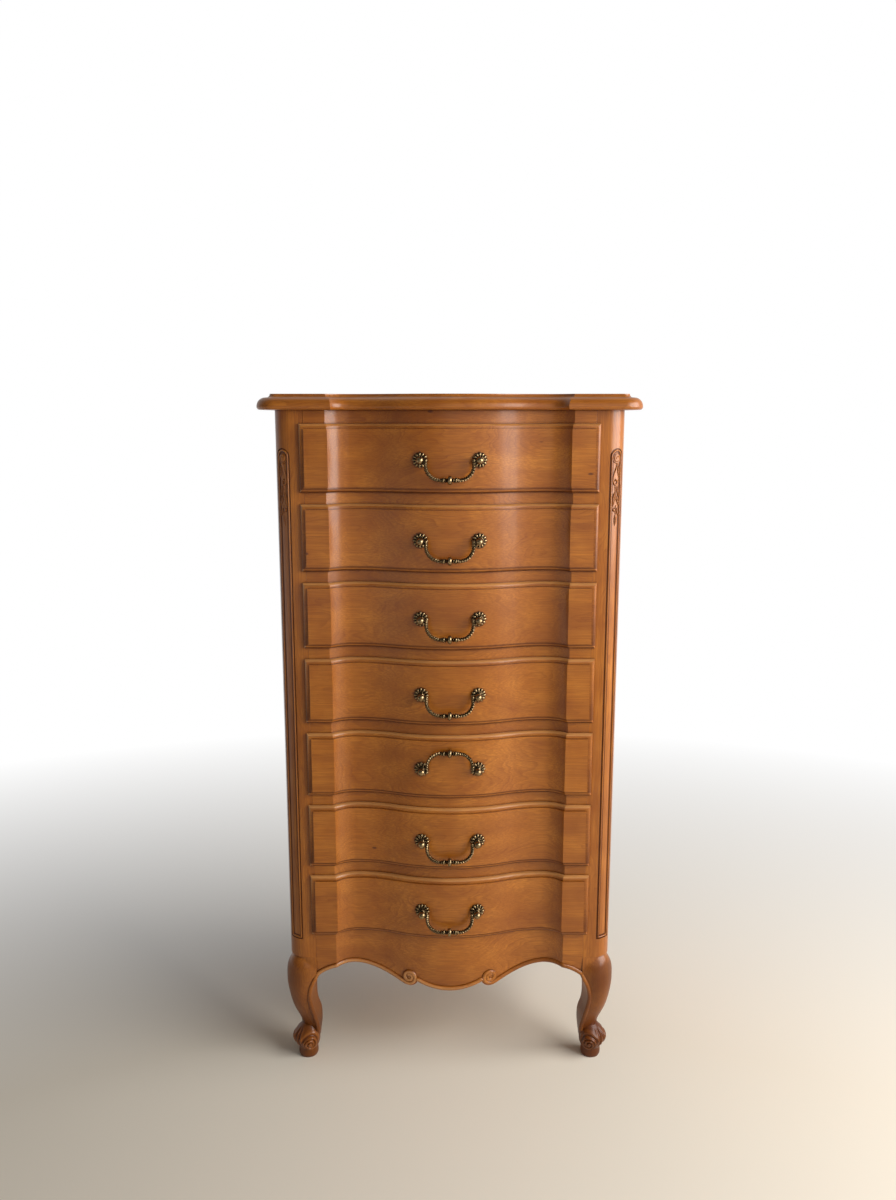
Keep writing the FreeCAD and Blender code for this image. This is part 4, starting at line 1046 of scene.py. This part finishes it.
class CHEST_OT_carving(bpy.types.Operator):
    """Carves the flower and leaves at the head of each post's panel and runs the bead round the panel"""
    bl_idname = "chest.carve_posts"
    bl_label = "Carve the posts"

    # Where the carving starts and ends below the panel's head, and its room beside the bead, in metres
    START, END, ROOM = 0.006, 0.140, 0.0015
    # The relief in millimetres that flower_height is drawn for
    DRAWN_HIGH = 3.2
    # How far the bead's middle lies above the panel's floor, its height as a share of its width, and the
    # height of the dark strip below it, painted shade of the groove
    LIFT, BEAD_HIGH, STRIP_HIGH = 0.0002, 0.66, 0.0003

    def execute(self, context):
        size = sizes()
        side, front = post_planes()
        facing = size.panel_turn - math.pi / 2
        half = size.panel_half - size.panel_bead - self.ROOM
        across = np.arange(-half, half + size.carving_grid / 2, size.carving_grid)
        down = np.arange(self.START, self.END, size.carving_grid)
        s, t = np.meshgrid(down, across, indexing="ij")
        relief = flower_height(t * 1000, s * 1000) / self.DRAWN_HIGH * size.carving_high
        lines = outlines(relief)
        line = panel_line(size)
        for name, hand in HANDS.items():
            seed = SEEDS["posts"] + hand

            def world(aside, z, radius):
                """From the distance across the panel, straight on, to the rounded corner of the post."""
                turn = np.arcsin(np.clip(aside / size.post_round, -1, 1)) + facing
                x = side - size.post_round + radius * np.cos(turn)
                y = front + size.post_round + radius * np.sin(turn)
                return np.stack(np.broadcast_arrays(hand * x, y, z), axis=-1)

            def lined(points):
                """Painted shade in the lines round the carved forms, looked up on the carving's grid."""
                x, y, z = points.T
                turn = np.arctan2(y - front - size.post_round, hand * x - side + size.post_round) - facing
                row = np.rint((size.panel_high - z - down[0]) / size.carving_grid).astype(int)
                column = np.rint((size.post_round * np.sin(turn) - across[0]) / size.carving_grid).astype(int)
                return lines[np.clip(row, 0, len(down) - 1), np.clip(column, 0, len(across) - 1)]

            mesh = mesh_from("carving_" + name, carved_relief(size, world, s, t, relief))
            lay_grain(mesh, "Z", seed, lined)
            place("carved_flower_" + name, mesh, "case", "cherry", smooth=55)
            floor = size.post_round - size.panel_floor
            points = world(*line.T, floor + self.LIFT)
            ahead = world(*line.T, size.post_round) - points
            ahead /= np.linalg.norm(ahead, axis=1)[:, None]
            # A dark strip on each side of the bead, painted shade of the groove between bead and panel wall
            strip = bead("panel_groove_" + name, points, ahead, size.panel_bead + 2 * size.panel_groove,
                         self.STRIP_HIGH, closed=True)
            lay_grain(strip, "Z", seed, lambda points: 1.0)
            edge = bead("panel_bead_" + name, points, ahead, size.panel_bead,
                        size.panel_bead * self.BEAD_HIGH, closed=True)
            lay_grain(edge, "Z", seed)
            edge = merge_meshes("panel_bead_" + name, [strip, edge])
            place("panel_bead_" + name, edge, "case", "cherry", smooth=45)
        return {"FINISHED"}


def panel_line(size, steps=28):
    """Middle of the bead inside the sunk panel: straight sides, a round head and a square foot."""
    half = size.panel_half - 0.5 * size.panel_bead - size.panel_groove
    spring = size.panel_high - size.panel_half
    low = size.panel_low + 0.5 * size.panel_bead + size.panel_groove
    turns = np.linspace(0, math.pi, steps)
    head = [(half * math.cos(t), spring + half * math.sin(t)) for t in turns]
    rise = np.linspace(spring, low, 6)[1:]
    left = [(-half, z) for z in rise]
    foot = [(x, low) for x in np.linspace(-half, half, 9)[1:-1]]
    right = [(half, z) for z in rise[::-1]]
    return np.array(head + left + foot + right)


def outlines(relief, reach=2):
    """Painted shade in the lines round carved forms: how far each point of a relief lies below what is beside
    it.
    """
    full = 0.0014
    beside = relief
    for axis in (0, 1):
        beside = np.max([np.roll(beside, step, axis) for step in range(-reach, reach + 1)], axis=0)
    return CREASE_STAIN * np.clip((beside - relief) / full, 0, 1)


def carved_relief(size, world, down, across, relief, sunk=0.0004, back=0.0016):
    """A thin closed shell whose front is the carved flower and leaves and whose back lies in the post."""
    floor = size.post_round - size.panel_floor
    high = size.panel_high - down
    front = world(across, high, floor - sunk + relief).reshape(-1, 3)
    rear = world(across, high, floor - back).reshape(-1, 3)
    rows, columns = relief.shape
    count = rows * columns
    faces = grid_faces(rows, columns) + [face[::-1] for face in grid_faces(rows, columns, start=count)]
    rim = ([(0, c) for c in range(columns)] + [(r, columns - 1) for r in range(1, rows)]
           + [(rows - 1, c) for c in range(columns - 2, -1, -1)] + [(r, 0) for r in range(rows - 2, 0, -1)])
    rim = [r * columns + c for r, c in rim]
    faces += [(a, b, b + count, a + count) for a, b in zip(rim, rim[1:] + rim[:1])]
    return np.concatenate((front, rear)), faces


def flower_height(t, s):
    """Height of the carving in millimetres at t across and s below the panel's head."""
    high = np.zeros_like(t)

    def raise_to(other):
        np.maximum(high, other, out=high)

    def dome(distance, half, top):
        """A round back over everything nearer than half."""
        return top * np.sqrt(np.clip(1 - (distance / half) ** 2, 0, 1))

    def stem(points, half, top, taper=0.0):
        """A round stem along a line of points, thinner towards its end by its taper."""
        far = np.full_like(t, 1e3)
        width = np.full_like(t, half)
        for index, ((x0, y0), (x1, y1)) in enumerate(zip(points, points[1:])):
            dx, dy = x1 - x0, y1 - y0
            share = np.clip(((t - x0) * dx + (s - y0) * dy) / (dx * dx + dy * dy), 0, 1)
            gap = np.hypot(t - x0 - share * dx, s - y0 - share * dy)
            nearer = gap < far
            far = np.where(nearer, gap, far)
            width = np.where(nearer, half * (1 - taper * (index + share) / (len(points) - 1)), width)
        raise_to(dome(far, width, top))

    def leaf(x, y, heading, long, wide, top=2.5):
        """A lobed leaf with a vein, from its foot at x, y along its heading in degrees."""
        c, k = math.cos(math.radians(heading)), math.sin(math.radians(heading))
        run, side = (t - x) * k + (s - y) * c, (t - x) * c - (s - y) * k
        share = np.clip(run / long, 0, 1)
        half = wide * np.sin(math.pi * share ** 0.75) ** 0.8 + 1e-6
        inside = np.clip(1 - (side / half) ** 2, 0, 1) * (run > 0) * (run < long)
        lobes = 1 + 0.12 * np.cos(run * 2.4 - np.abs(side) * 1.6)
        vein = 1 - 0.45 * np.exp(-(side / 0.55) ** 2)
        raise_to(top * np.sqrt(inside) * lobes * vein)

    # A round flower with a spiral cut into it
    middle, radius, step = 18, 9.2, 4.7
    far, way = np.hypot(t, s - middle), np.arctan2(s - middle, t)
    raise_to(dome(far ** 2, radius ** 2, 2.7))
    lap = far / step - way / (2 * math.pi)
    cut = np.exp(-(((lap + 0.5) % 1 - 0.5) / 0.16) ** 2)
    high -= cut * np.clip(8.0 - far, 0, 1) * np.clip(far - 1.8, 0, 1)
    # The stem winds down from it and ends in a curl, with a bud and with leaves on both sides
    stem([(2, 26.5), (-0.5, 34), (-4, 42), (-6.6, 50), (-6.8, 57), (-4.4, 62.5), (-0.6, 63.5), (2, 60),
          (1.6, 55.5), (-1.2, 54), (-2.6, 56.5)], 1.6, 2.4, taper=0.3)
    stem([(-2, 64), (-1.4, 71), (-0.8, 78)], 1.3, 2.0)
    stem([(1, 100), (-1.5, 106), (0.5, 113), (0.5, 120)], 1.3, 2.0, taper=0.3)
    raise_to(dome(np.hypot(t + 4, s - 107), 3.2, 2.8))
    for x, y, heading, long, wide in ((4, 29, 6, 22, 2.8), (3, 65, 8, 20, 2.6), (-1.5, 76, -12, 27, 4.4),
                                      (1.5, 82, 20, 20, 3.2), (2, 103, 22, 17, 2.8), (0.5, 115, -4, 20, 3.0)):
        leaf(x, y, heading, long, wide)
    return high


class CHEST_OT_mouldings(bpy.types.Operator):
    """Runs the rounded bead along the apron, into its scrolls and down the legs"""
    bl_idname = "chest.run_mouldings"
    bl_label = "Run the edge beads"

    # The bead on a leg: heights in metres and its share of the apron bead's size there, and its upper end
    LEG_SHARE, LEG_TOP = ((0.056, 0.075, 0.15), (0.42, 0.55, 0.66)), 0.174
    # How much it faces the arch beside it, and how much out of the case
    LEG_ASIDE, LEG_OUT = 0.45, 0.9
    # The share past the legs, and how many points of the apron it takes to grow to the full size
    JOIN_SHARE, GROWTH = 0.68, 30
    # Points of a leg, of an arch and of its curl, of the apron's middle and of a side
    LEG_STEPS, ARCH_STEPS, MIDDLE_STEPS, SIDE_STEPS = 64, 90, 70, 80
    # In metres: distances of the arches of the apron and of the sides from the outer planes of the case, and
    # the gap before a scroll and before a rear post
    ARCH_START, SIDE_START, GAP = 0.053, 0.0535, 0.001
    # Where the apron is measured: its lower edge this far before its back, its face this far below its top
    BEFORE_BACK, BELOW_TOP = 0.005, 0.015
    # The curl's turn, how fast it and its bead shrink on the way, and half the length and share of its eye
    CURL, SHRINK, THIN, EYE_HALF, EYE_SHARE = 3.2 * math.pi, 0.112, 0.11, 0.0008, 0.62
    # Places in metres with the tone there: across the apron, and up the legs, which lie past LEG_SIDE; below
    # 0 the tone is a painted highlight
    APRON_TONE = ((-0.02, 0.06, 0.14), (-0.34, -0.12, 0.42))
    LEG_TONE, LEG_SIDE = ((0.06, 0.14, 0.18), (0.8, 0.6, 0.0)), 0.251

    def execute(self, context):
        size = sizes()
        apron = surface_of("apron")
        low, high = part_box("apron")
        inside, clear = high.y - self.BEFORE_BACK, high.z - self.BELOW_TOP
        side, front = post_planes()
        half = size.apron_bead / 2

        def on_apron(x, z=None):
            """A point on the front of the apron, by default on the line of its edge bead."""
            y = meet(apron, (x, low.y - 1, clear), (0, 1, 0)).y
            return x, y, meet(apron, (x, inside, -1), (0, 0, 1)).z + half if z is None else z

        rise = np.linspace(self.LEG_SHARE[0][0], self.LEG_TOP, self.LEG_STEPS)
        edge, face, _, _ = leg_values(rise)
        thin = np.interp(rise, *self.LEG_SHARE)
        grown_share = np.interp(np.arange(self.ARCH_STEPS), (0, self.GROWTH), (self.JOIN_SHARE, 1.0))
        turns = np.linspace(0, self.CURL, self.ARCH_STEPS)[1:]
        ahead = (0, -1, 0)
        made = []
        for hand in HANDS.values():
            leg = [(hand * (side - a), front + b, z) for a, b, z in zip(edge, face, rise)]
            arch = [on_apron(hand * x)
                    for x in np.linspace(side - self.ARCH_START, size.scroll_x, self.ARCH_STEPS)]
            radii = (size.scroll_z - arch[-1][2]) * np.exp(-self.SHRINK * turns)
            curl = [on_apron(hand * (size.scroll_x - r * math.sin(a)), size.scroll_z - r * math.cos(a))
                    for r, a in zip(radii, turns)]
            share = np.concatenate((thin, grown_share, np.exp(-self.THIN * turns)))
            outward = [(-hand * self.LEG_ASIDE, -self.LEG_OUT, 0)] * len(leg)
            outward += [ahead] * (len(arch) + len(curl))
            made.append(self.strip(leg + arch + curl, outward, share))
            eye = [on_apron(hand * (size.scroll_x + d), size.scroll_z)
                   for d in (-self.EYE_HALF, self.EYE_HALF)]
            made.append(self.strip(eye, ahead, self.EYE_SHARE))
        notch = size.scroll_x - size.scroll_round - self.GAP
        between = [on_apron(x) for x in np.linspace(-notch, notch, self.MIDDLE_STEPS)]
        made.append(self.strip(between, ahead, 1.0))
        mesh = merge_meshes("apron_bead", made)
        lay_grain(mesh, "X", SEEDS["apron"], self.worn_edge)
        place("apron_bead", mesh, "case", "cherry", smooth=50)

        for name, hand in HANDS.items():
            rail = surface_of("side_rails_" + name)
            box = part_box("side_rails_" + name)
            middle = (box[0].x + box[1].x) / 2
            outer = box[1].x if hand > 0 else box[0].x
            leg = [(hand * (side - b), front + a, z) for a, b, z in zip(edge, face, rise)]
            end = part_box("rear_post_" + name)[0].y - self.GAP
            reach = np.linspace(front + self.SIDE_START, end, self.SIDE_STEPS)
            arch = [(outer, y, meet(rail, (middle, y, -1), (0, 0, 1)).z + half) for y in reach]
            share = np.concatenate((thin, np.full(len(arch), self.JOIN_SHARE)))
            outward = [(hand * self.LEG_OUT, self.LEG_ASIDE, 0)] * len(leg) + [(hand, 0, 0)] * len(arch)
            mesh = self.strip(leg + arch, outward, share)
            lay_grain(mesh, "Y", SEEDS["sides"], self.worn_edge)
            place("side_bead_" + name, mesh, "case", "cherry", smooth=50)
        return {"FINISHED"}

    def worn_edge(self, points):
        """Stain low on the legs and at the apron's right end; a painted highlight along the rest of the
        apron.
        """
        x, _, z = points.T
        leg, apron = np.interp(z, *self.LEG_TONE), np.interp(x, *self.APRON_TONE)
        return np.where(np.abs(x) > self.LEG_SIDE, leg, apron)

    @staticmethod
    def strip(points, outward, share):
        """A piece of the edge bead."""
        return bead("edge_bead", points, outward, sizes().apron_bead, sizes().apron_bead_high, share=share)


def pivot_of(number):
    """Where the bail of a drawer swings."""
    name = "bail_%s_swing" % number
    return Vector(next(joint["pos_m"] for joint in frame["joints"] if joint["name"] == name))


class CHEST_OT_rosettes(bpy.types.Operator):
    """Casts the petalled rosettes with their necks, ball heads, bolts and nuts"""
    bl_idname = "chest.cast_rosettes"
    bl_label = "Cast the rosettes"

    # Shares of the rosette's radius: the rings of petals and of beads inside them, and a petal's half sizes
    PETAL_RING, BEAD_RING, PETAL = 0.73, 0.48, (0.29, 0.165, 0.16)
    # Half sizes of a bead, heights of both rings above the wood, and the petals' lean
    BEAD, PETAL_RISE, BEAD_RISE, LEAN = (0.0013, 0.0011, 0.0012), 0.0022, 0.0036, math.radians(18)
    # Outline of the plate: shares of the rosette's radius and heights in millimetres
    PLATE = ((0.0, -0.8), (0.80, -0.8), (0.84, 0.6), (0.80, 1.6), (0.62, 2.4), (0.52, 3.6), (0.40, 4.2),
             (0.34, 5.6), (0.0, 5.6))
    # Outlines in millimetres, as radius and height: bolt and neck with its collar, nut, washer and bolt end
    NECK = 4.0
    SHANK = ((0.0, -30), (2.5, -30), (2.5, -1.0), (NECK, -1.0), (NECK, 6.4), (5.2, 7.2), (5.2, 8.4),
             (NECK, 9.2))
    NUT = ((0.0, 1.5), (4.6, 1.5), (4.6, 5.0), (4.0, 5.6), (0.0, 5.6))
    WASHER = ((0.0, 5.2), (5.8, 5.2), (5.8, 6.2), (0.0, 6.2))
    BOLT = ((0.0, 0.0), (2.0, 0.0), (2.5, 0.6), (2.5, 6.2), (0.0, 6.2))
    # How far above its pivot the wood's place and slope are measured, and how far to each side
    ABOVE, BESIDE = 0.008, 0.004

    def execute(self, context):
        size = sizes()
        across = size.rosette_round
        petals = self.ring(across * self.PETAL_RING, [across * share for share in self.PETAL], self.LEAN,
                           self.PETAL_RISE)
        beads = self.ring(across * self.BEAD_RING, self.BEAD, 0.0, self.BEAD_RISE)
        plate = lathe([(across * share, z / 1000) for share, z in self.PLATE], 48)
        rosette = joined([plate, petals, beads])
        fixing = joined([lathe(metres(outline), sides)
                         for outline, sides in ((self.NUT, 6), (self.WASHER, 28), (self.BOLT, 20))])
        front = surface_of("drawer_%s_front" % DRAWERS[0])
        level = pivot_of(DRAWERS[0]).z + self.ABOVE
        for number in DRAWERS:
            node, body, pivot = "drawer_%s_rosettes" % number, "drawer_" + number, pivot_of(number)
            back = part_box(node)[1].y
            cast, fixings = [], []
            for hand in HANDS.values():
                x = hand * size.pull_x
                left, right = (meet(front, (x + d, pivot.y - 1, level), (0, 1, 0)).y
                               for d in (-self.BESIDE, self.BESIDE))
                wood = (left + right) / 2
                slope = math.atan2(right - left, 2 * self.BESIDE)
                cast.append(self.turned(rosette, slope, (x, wood, pivot.z)))
                cast.append(self.turned(self.neck(size, wood - pivot.y), 0.0, (x, wood, pivot.z)))
                fixings.append(self.turned(fixing, 0.0, (x, back, pivot.z)))
            place(node + "_cast", mesh_from(node, joined(cast)), body, "antique_brass", smooth=40,
                  stands_for=[node])
            place("drawer_%s_nuts" % number, mesh_from("nuts", joined(fixings)), body, "steel", smooth=30)
        return {"FINISHED"}

    @staticmethod
    def ring(radius, petal, lean, rise):
        """Points and faces of a ring of petals above the wood."""
        mesh = grown("petals", petal_tree(), [(0, 0, 0)], [], {
            "Petals": sizes().petals, "Ring": radius, "Petal": petal, "Lean": lean,
            "Material": browned_brass()})
        points, faces = taken(mesh)
        return points + (0, 0, rise), faces

    @staticmethod
    def turned(shape, slope, at):
        """From a shape that faces up Z to one that faces the front, turned by the slope of the wood."""
        points, faces = shape
        x, y, z = points.T
        c, s = math.cos(slope), math.sin(slope)
        return np.stack((at[0] + c * x + s * z, at[1] + s * x - c * z, at[2] + y), axis=1), faces

    def neck(self, size, standoff):
        """Neck, collar and ball head, closed behind by the bolt."""
        ball = size.ball
        meeting = math.asin(self.NECK / 1000 / ball)
        head = [(max(ball * math.sin(turn), 0.0), standoff + ball * math.cos(turn))
                for turn in np.linspace(math.pi - meeting, 0, 18)]
        return lathe([*metres(self.SHANK), *head], 40)


class CHEST_OT_bails(bpy.types.Operator):
    """Makes the drop handles: twisted arms with pivot pins and a turned grip with a ring in the middle"""
    bl_idname = "chest.forge_bails"
    bl_label = "Forge the bails"

    # Radius of the ring on the frame's own bail and of the arm's knuckle, and the room beside the ball head
    FRAME_RING, KNUCKLE, ROOM = 0.0075, 0.0030, 0.0005
    # How far below its pivot the arm starts and how far it goes into the grip, and the points of its straight
    # part and its bend
    ARM_START, INTO_GRIP, ARM_STEPS, BEND_STEPS = 0.001, 0.001, 12, 26
    # The twisted arm from the knuckle to the grip: shares of the way and of its radius there
    THICKNESS = ((0, 0.12, 0.6, 1), (0.95, 0.86, 1.0, 0.95))
    # Half the outline of the turned grip, with shares of half its length: its end with shares of the rod's
    # radius, and the rest with radii in millimetres
    GRIP_END = ((0.0, 1.0), (0.9, 1.0), (1.1, 0.97))
    GRIP = ((4.3, 0.94), (4.3, 0.90), (3.2, 0.87), (3.0, 0.83), (4.1, 0.79), (4.8, 0.72), (4.8, 0.64),
            (4.1, 0.57), (3.0, 0.53), (2.8, 0.50), (4.2, 0.47), (4.6, 0.43), (4.2, 0.39), (2.8, 0.36),
            (2.6, 0.29), (4.4, 0.24), (6.0, 0.20), (7.3, 0.14), (7.8, 0.05))

    def execute(self, context):
        size = sizes()
        points, faces = self.hanging(size)
        for number in DRAWERS:
            node, pivot = "drawer_%s_bail" % number, pivot_of(number)
            low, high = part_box(node)
            x, y, z = points.T
            if high.z - pivot.z > pivot.z - low.z:
                # This one is turned up and leans against the drawer front
                lean = math.acos(min(1.0, (high.z - pivot.z - self.FRAME_RING) / size.bail_drop))
                deep = low.y + high.y - 2 * pivot.y
                turn = math.pi - math.copysign(lean, deep)
                y, z = y * math.cos(turn) - z * math.sin(turn), y * math.sin(turn) + z * math.cos(turn)
            moved = np.stack((x + pivot.x, y + pivot.y, z + pivot.z), axis=1)
            place(node + "_forged", mesh_from(node, (moved, faces)), "bail_" + number, "antique_brass",
                  smooth=50, stands_for=[node])
        return {"FINISHED"}

    def hanging(self, size):
        """Points and faces of a bail that hangs from a pivot at the origin."""
        arm = size.pull_x - size.ball - self.ROOM - self.KNUCKLE
        bend, drop = size.bail_bend, size.bail_drop
        path = [(arm, 0, z) for z in np.linspace(-self.ARM_START, bend - drop, self.ARM_STEPS)[:-1]]
        path += [(arm - bend + bend * math.cos(t), 0, bend - drop - bend * math.sin(t))
                 for t in np.linspace(0, math.pi / 2, self.BEND_STEPS)]
        path = np.array(path + [(size.grip_half - self.INTO_GRIP, 0, -drop)])
        turns = np.linalg.norm(np.diff(path, axis=0), axis=1).sum() / size.twist
        count = len(path)
        share = np.interp(np.arange(count) / count, *self.THICKNESS)
        knuckle = lathe([(self.KNUCKLE * math.sin(t), -self.KNUCKLE * math.cos(t))
                         for t in np.linspace(0, math.pi, 12)], 20)
        reach = size.pull_x - arm
        pin = lathe([(0.0, 0.0), (size.pin, 0.0), (size.pin, reach), (0.0, reach)], 20)
        shapes = []
        for hand in HANDS.values():
            rod = grown("arm", rod_tree(), path * (hand, 1, 1), chain_edges(count),
                        {"Radius": size.rod, "Turns": hand * turns, "Material": browned_brass()}, share=share)
            shapes.append(taken(rod))
            shapes.append((knuckle[0] + (hand * arm, 0, 0), knuckle[1]))
            x, y, z = pin[0].T
            shapes.append((np.stack((hand * (arm + z), y, x), axis=1), pin[1]))
        grip = self.grip(size)
        x, y, z = grip[0].T
        shapes.append((np.stack((z, y, x - drop), axis=1), grip[1]))
        return joined(shapes)

    def grip(self, size):
        """Turned middle: a ring between collars, beads and fine coves."""
        outline = [(size.rod * share, at) for share, at in self.GRIP_END]
        outline += [(r / 1000, at) for r, at in self.GRIP]
        left = [(r, -at * size.grip_half) for r, at in outline]
        right = [(r, at * size.grip_half) for r, at in outline[::-1]]
        return lathe(left + right, 36)


class CHEST_OT_nails(bpy.types.Operator):
    """Drives the small nails that hold the back panel in its rebates"""
    bl_idname = "chest.nail_back"
    bl_label = "Nail the back panel"

    # Distances from the panel's edges, in metres: of the upright rows, their ends and the level rows' ends
    SIDE, END, LEVEL_END = 0.006, 0.03, 0.04
    # Radius of a nail's head
    HEAD = 0.0026

    def execute(self, context):
        low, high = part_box("back_panel")
        bottom, top = low.z + self.END, high.z - self.END
        rows = [((x, bottom), (x, top)) for x in (low.x + self.SIDE, high.x - self.SIDE)]
        rows += [((low.x + self.LEVEL_END, z), (high.x - self.LEVEL_END, z)) for z in (top, bottom)]
        points = [(x, high.y, z) for row in rows for x, z in row]
        edges = [(2 * k, 2 * k + 1) for k in range(len(rows))]
        mesh = grown("back_nails", nail_tree(), points, edges,
                     {"Step": sizes().nail_step, "Radius": self.HEAD, "Material": zinc_steel()})
        place("back_nails", mesh, "case", "steel", smooth=60)
        return {"FINISHED"}


class CHEST_OT_stage(bpy.types.Operator):
    """Sets the pale floor, the soft lamps and the camera"""
    bl_idname = "chest.set_stage"
    bl_label = "Set the stage"

    # Each lamp's place, the point it faces, and its width and height, in metres
    WINDOW = ((2.0, -1.0, 1.55), (0, -0.15, 0.75), (2.2, 1.8))
    FILL = ((0.8, -3.4, 2.0), (0, -0.1, 0.65), (2.4, 2.0))
    # Half the floor's width, the spot round which it is pale, and how far off white starts and is full
    FLOOR_HALF, PALE_SPOT, PALE, WHITE = 14.0, (0, -1.6, 0), 1.55, 3.5
    # The backdrop that lacquer and metal mirror: shares of the way from front to back, and its strength there
    BACKDROP = ((0.42, 0.0), (0.62, 0.65))

    def execute(self, context):
        scene = context.scene
        stage = scene.chest_stage
        scene.view_settings.view_transform = "Standard"
        self.floor(scene, stage)
        self.room(scene, stage)
        self.lamp(scene, "window_lamp", stage.window, *self.WINDOW)
        self.lamp(scene, "fill_lamp", stage.fill, *self.FILL)
        lens = bpy.data.cameras.new("camera")
        lens.sensor_width = SENSOR
        lens.lens = SENSOR * stage.focal_pixels / max(PHOTO_WIDTH, PHOTO_HEIGHT)
        camera = bpy.data.objects.new("camera", lens)
        camera.location = (stage.eye_x, stage.eye_y, stage.eye_z)
        camera.rotation_euler = (math.pi / 2 - stage.pitch, 0, 0)
        scene.collection.objects.link(camera)
        scene.camera = camera
        return {"FINISHED"}

    def floor(self, scene, stage):
        """A wide pale floor that fades to white behind and beside the chest."""
        half = self.FLOOR_HALF
        corners = [(-half, -half, 0), (half, -half, 0), (half, half, 0), (-half, half, 0)]
        mesh = bpy.data.meshes.new("floor")
        mesh.from_pydata(corners, [], [(0, 1, 2, 3)])
        material = bpy.data.materials.new("pale_floor")
        tree = emptied_tree(material)
        where = add(tree, "ShaderNodeTexCoord").outputs["Object"]
        far = add(tree, "ShaderNodeVectorMath", {0: where, 1: self.PALE_SPOT}, operation="DISTANCE")
        fade = add(tree, "ShaderNodeMapRange", {"Value": far.outputs["Value"], "From Min": self.PALE,
                                                "From Max": self.WHITE})
        seen = add(tree, "ShaderNodeLightPath")
        looked = self.looked_at(tree, seen, seen.outputs["Is Glossy Ray"])
        share = add(tree, "ShaderNodeMath", {0: fade, 1: looked}, operation="MULTIPLY")
        matt = add(tree, "ShaderNodeBsdfDiffuse", {"Color": stage.floor})
        white = add(tree, "ShaderNodeEmission", {"Strength": 1.0})
        mixed = add(tree, "ShaderNodeMixShader", {0: share, 1: matt, 2: white})
        add(tree, "ShaderNodeOutputMaterial", {"Surface": mixed})
        mesh.materials.append(material)
        floor = bpy.data.objects.new("floor", mesh)
        scene.collection.objects.link(floor)

    def room(self, scene, stage):
        """Even light from all round; a white backdrop past the floor, also in what metal and lacquer mirror.

        The backdrop stands behind the chest, so mirrored rays that leave to the front meet the dimmer room.
        """
        scene.world = bpy.data.worlds.new("room")
        tree = emptied_tree(scene.world)
        seen = add(tree, "ShaderNodeLightPath")
        way = add(tree, "ShaderNodeSeparateXYZ", {0: add(tree, "ShaderNodeTexCoord").outputs["Generated"]})
        behind = add(tree, "ShaderNodeMath", {0: way.outputs["Y"], 1: 0.5, 2: 0.5}, operation="MULTIPLY_ADD")
        behind = add(tree, "ShaderNodeValToRGB", {"Fac": behind}, stops=self.BACKDROP)
        mirrored = add(tree, "ShaderNodeMath", {0: seen.outputs["Is Glossy Ray"], 1: behind},
                       operation="MULTIPLY")
        looked = self.looked_at(tree, seen, mirrored)
        strength = add(tree, "ShaderNodeMix", {0: looked, 2: stage.sky, 3: 1.0}, data_type="FLOAT")
        glow = add(tree, "ShaderNodeBackground", {"Color": (1, 1, 1, 1), "Strength": strength})
        add(tree, "ShaderNodeOutputWorld", {"Surface": glow})

    @staticmethod
    def looked_at(tree, seen, mirrored):
        """1 for rays from the camera or through glass, and the given share for mirrored ones."""
        direct = add(tree, "ShaderNodeMath", {0: seen.outputs["Is Camera Ray"], 1: mirrored},
                     operation="MAXIMUM")
        return add(tree, "ShaderNodeMath", {0: direct, 1: seen.outputs["Is Transmission Ray"]},
                   operation="MAXIMUM")

    @staticmethod
    def lamp(scene, name, power, at, towards, spread):
        """A soft rectangular lamp that the camera doesn't see."""
        light = bpy.data.lights.new(name, "AREA")
        light.shape = "RECTANGLE"
        light.size, light.size_y = spread
        light.energy = power
        lamp = bpy.data.objects.new(name, light)
        lamp.location = at
        lamp.visible_camera = False
        lamp.rotation_euler = (Vector(towards) - Vector(at)).to_track_quat("-Z", "Y").to_euler()
        scene.collection.objects.link(lamp)


OPERATORS = (CHEST_OT_boards, CHEST_OT_drawers, CHEST_OT_legs, CHEST_OT_carving, CHEST_OT_mouldings,
             CHEST_OT_rosettes, CHEST_OT_bails, CHEST_OT_nails, CHEST_OT_stage)


class CHEST_PT_panel(bpy.types.Panel):
    """Lists the steps that dress the chest"""
    bl_idname = "CHEST_PT_panel"
    bl_label = "Semainier"
    bl_space_type = "VIEW_3D"
    bl_region_type = "UI"
    bl_category = "Semainier"

    def draw(self, context):
        for group in ("chest_sizes", "chest_finish", "chest_stage"):
            owner = getattr(context.scene, group)
            for name in owner.__annotations__:
                self.layout.prop(owner, name)
        for operator in OPERATORS:
            self.layout.operator(operator.bl_idname)


GROUPS = {"chest_sizes": ChestSizes, "chest_finish": ChestFinish, "chest_stage": ChestStage}


def register():
    for group in GROUPS.values():
        bpy.utils.register_class(group)
    for operator in OPERATORS:
        bpy.utils.register_class(operator)
    bpy.utils.register_class(CHEST_PT_panel)
    for name, group in GROUPS.items():
        setattr(bpy.types.Scene, name, PointerProperty(type=group))


def unregister():
    for name in GROUPS:
        delattr(bpy.types.Scene, name)
    for kind in (CHEST_PT_panel, *OPERATORS, *GROUPS.values()):
        bpy.utils.unregister_class(kind)


def main():
    """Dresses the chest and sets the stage."""
    register()
    for operator in OPERATORS:
        family, name = operator.bl_idname.split(".")
        getattr(getattr(bpy.ops, family), name)()


if __name__ == "__main__":
    main()
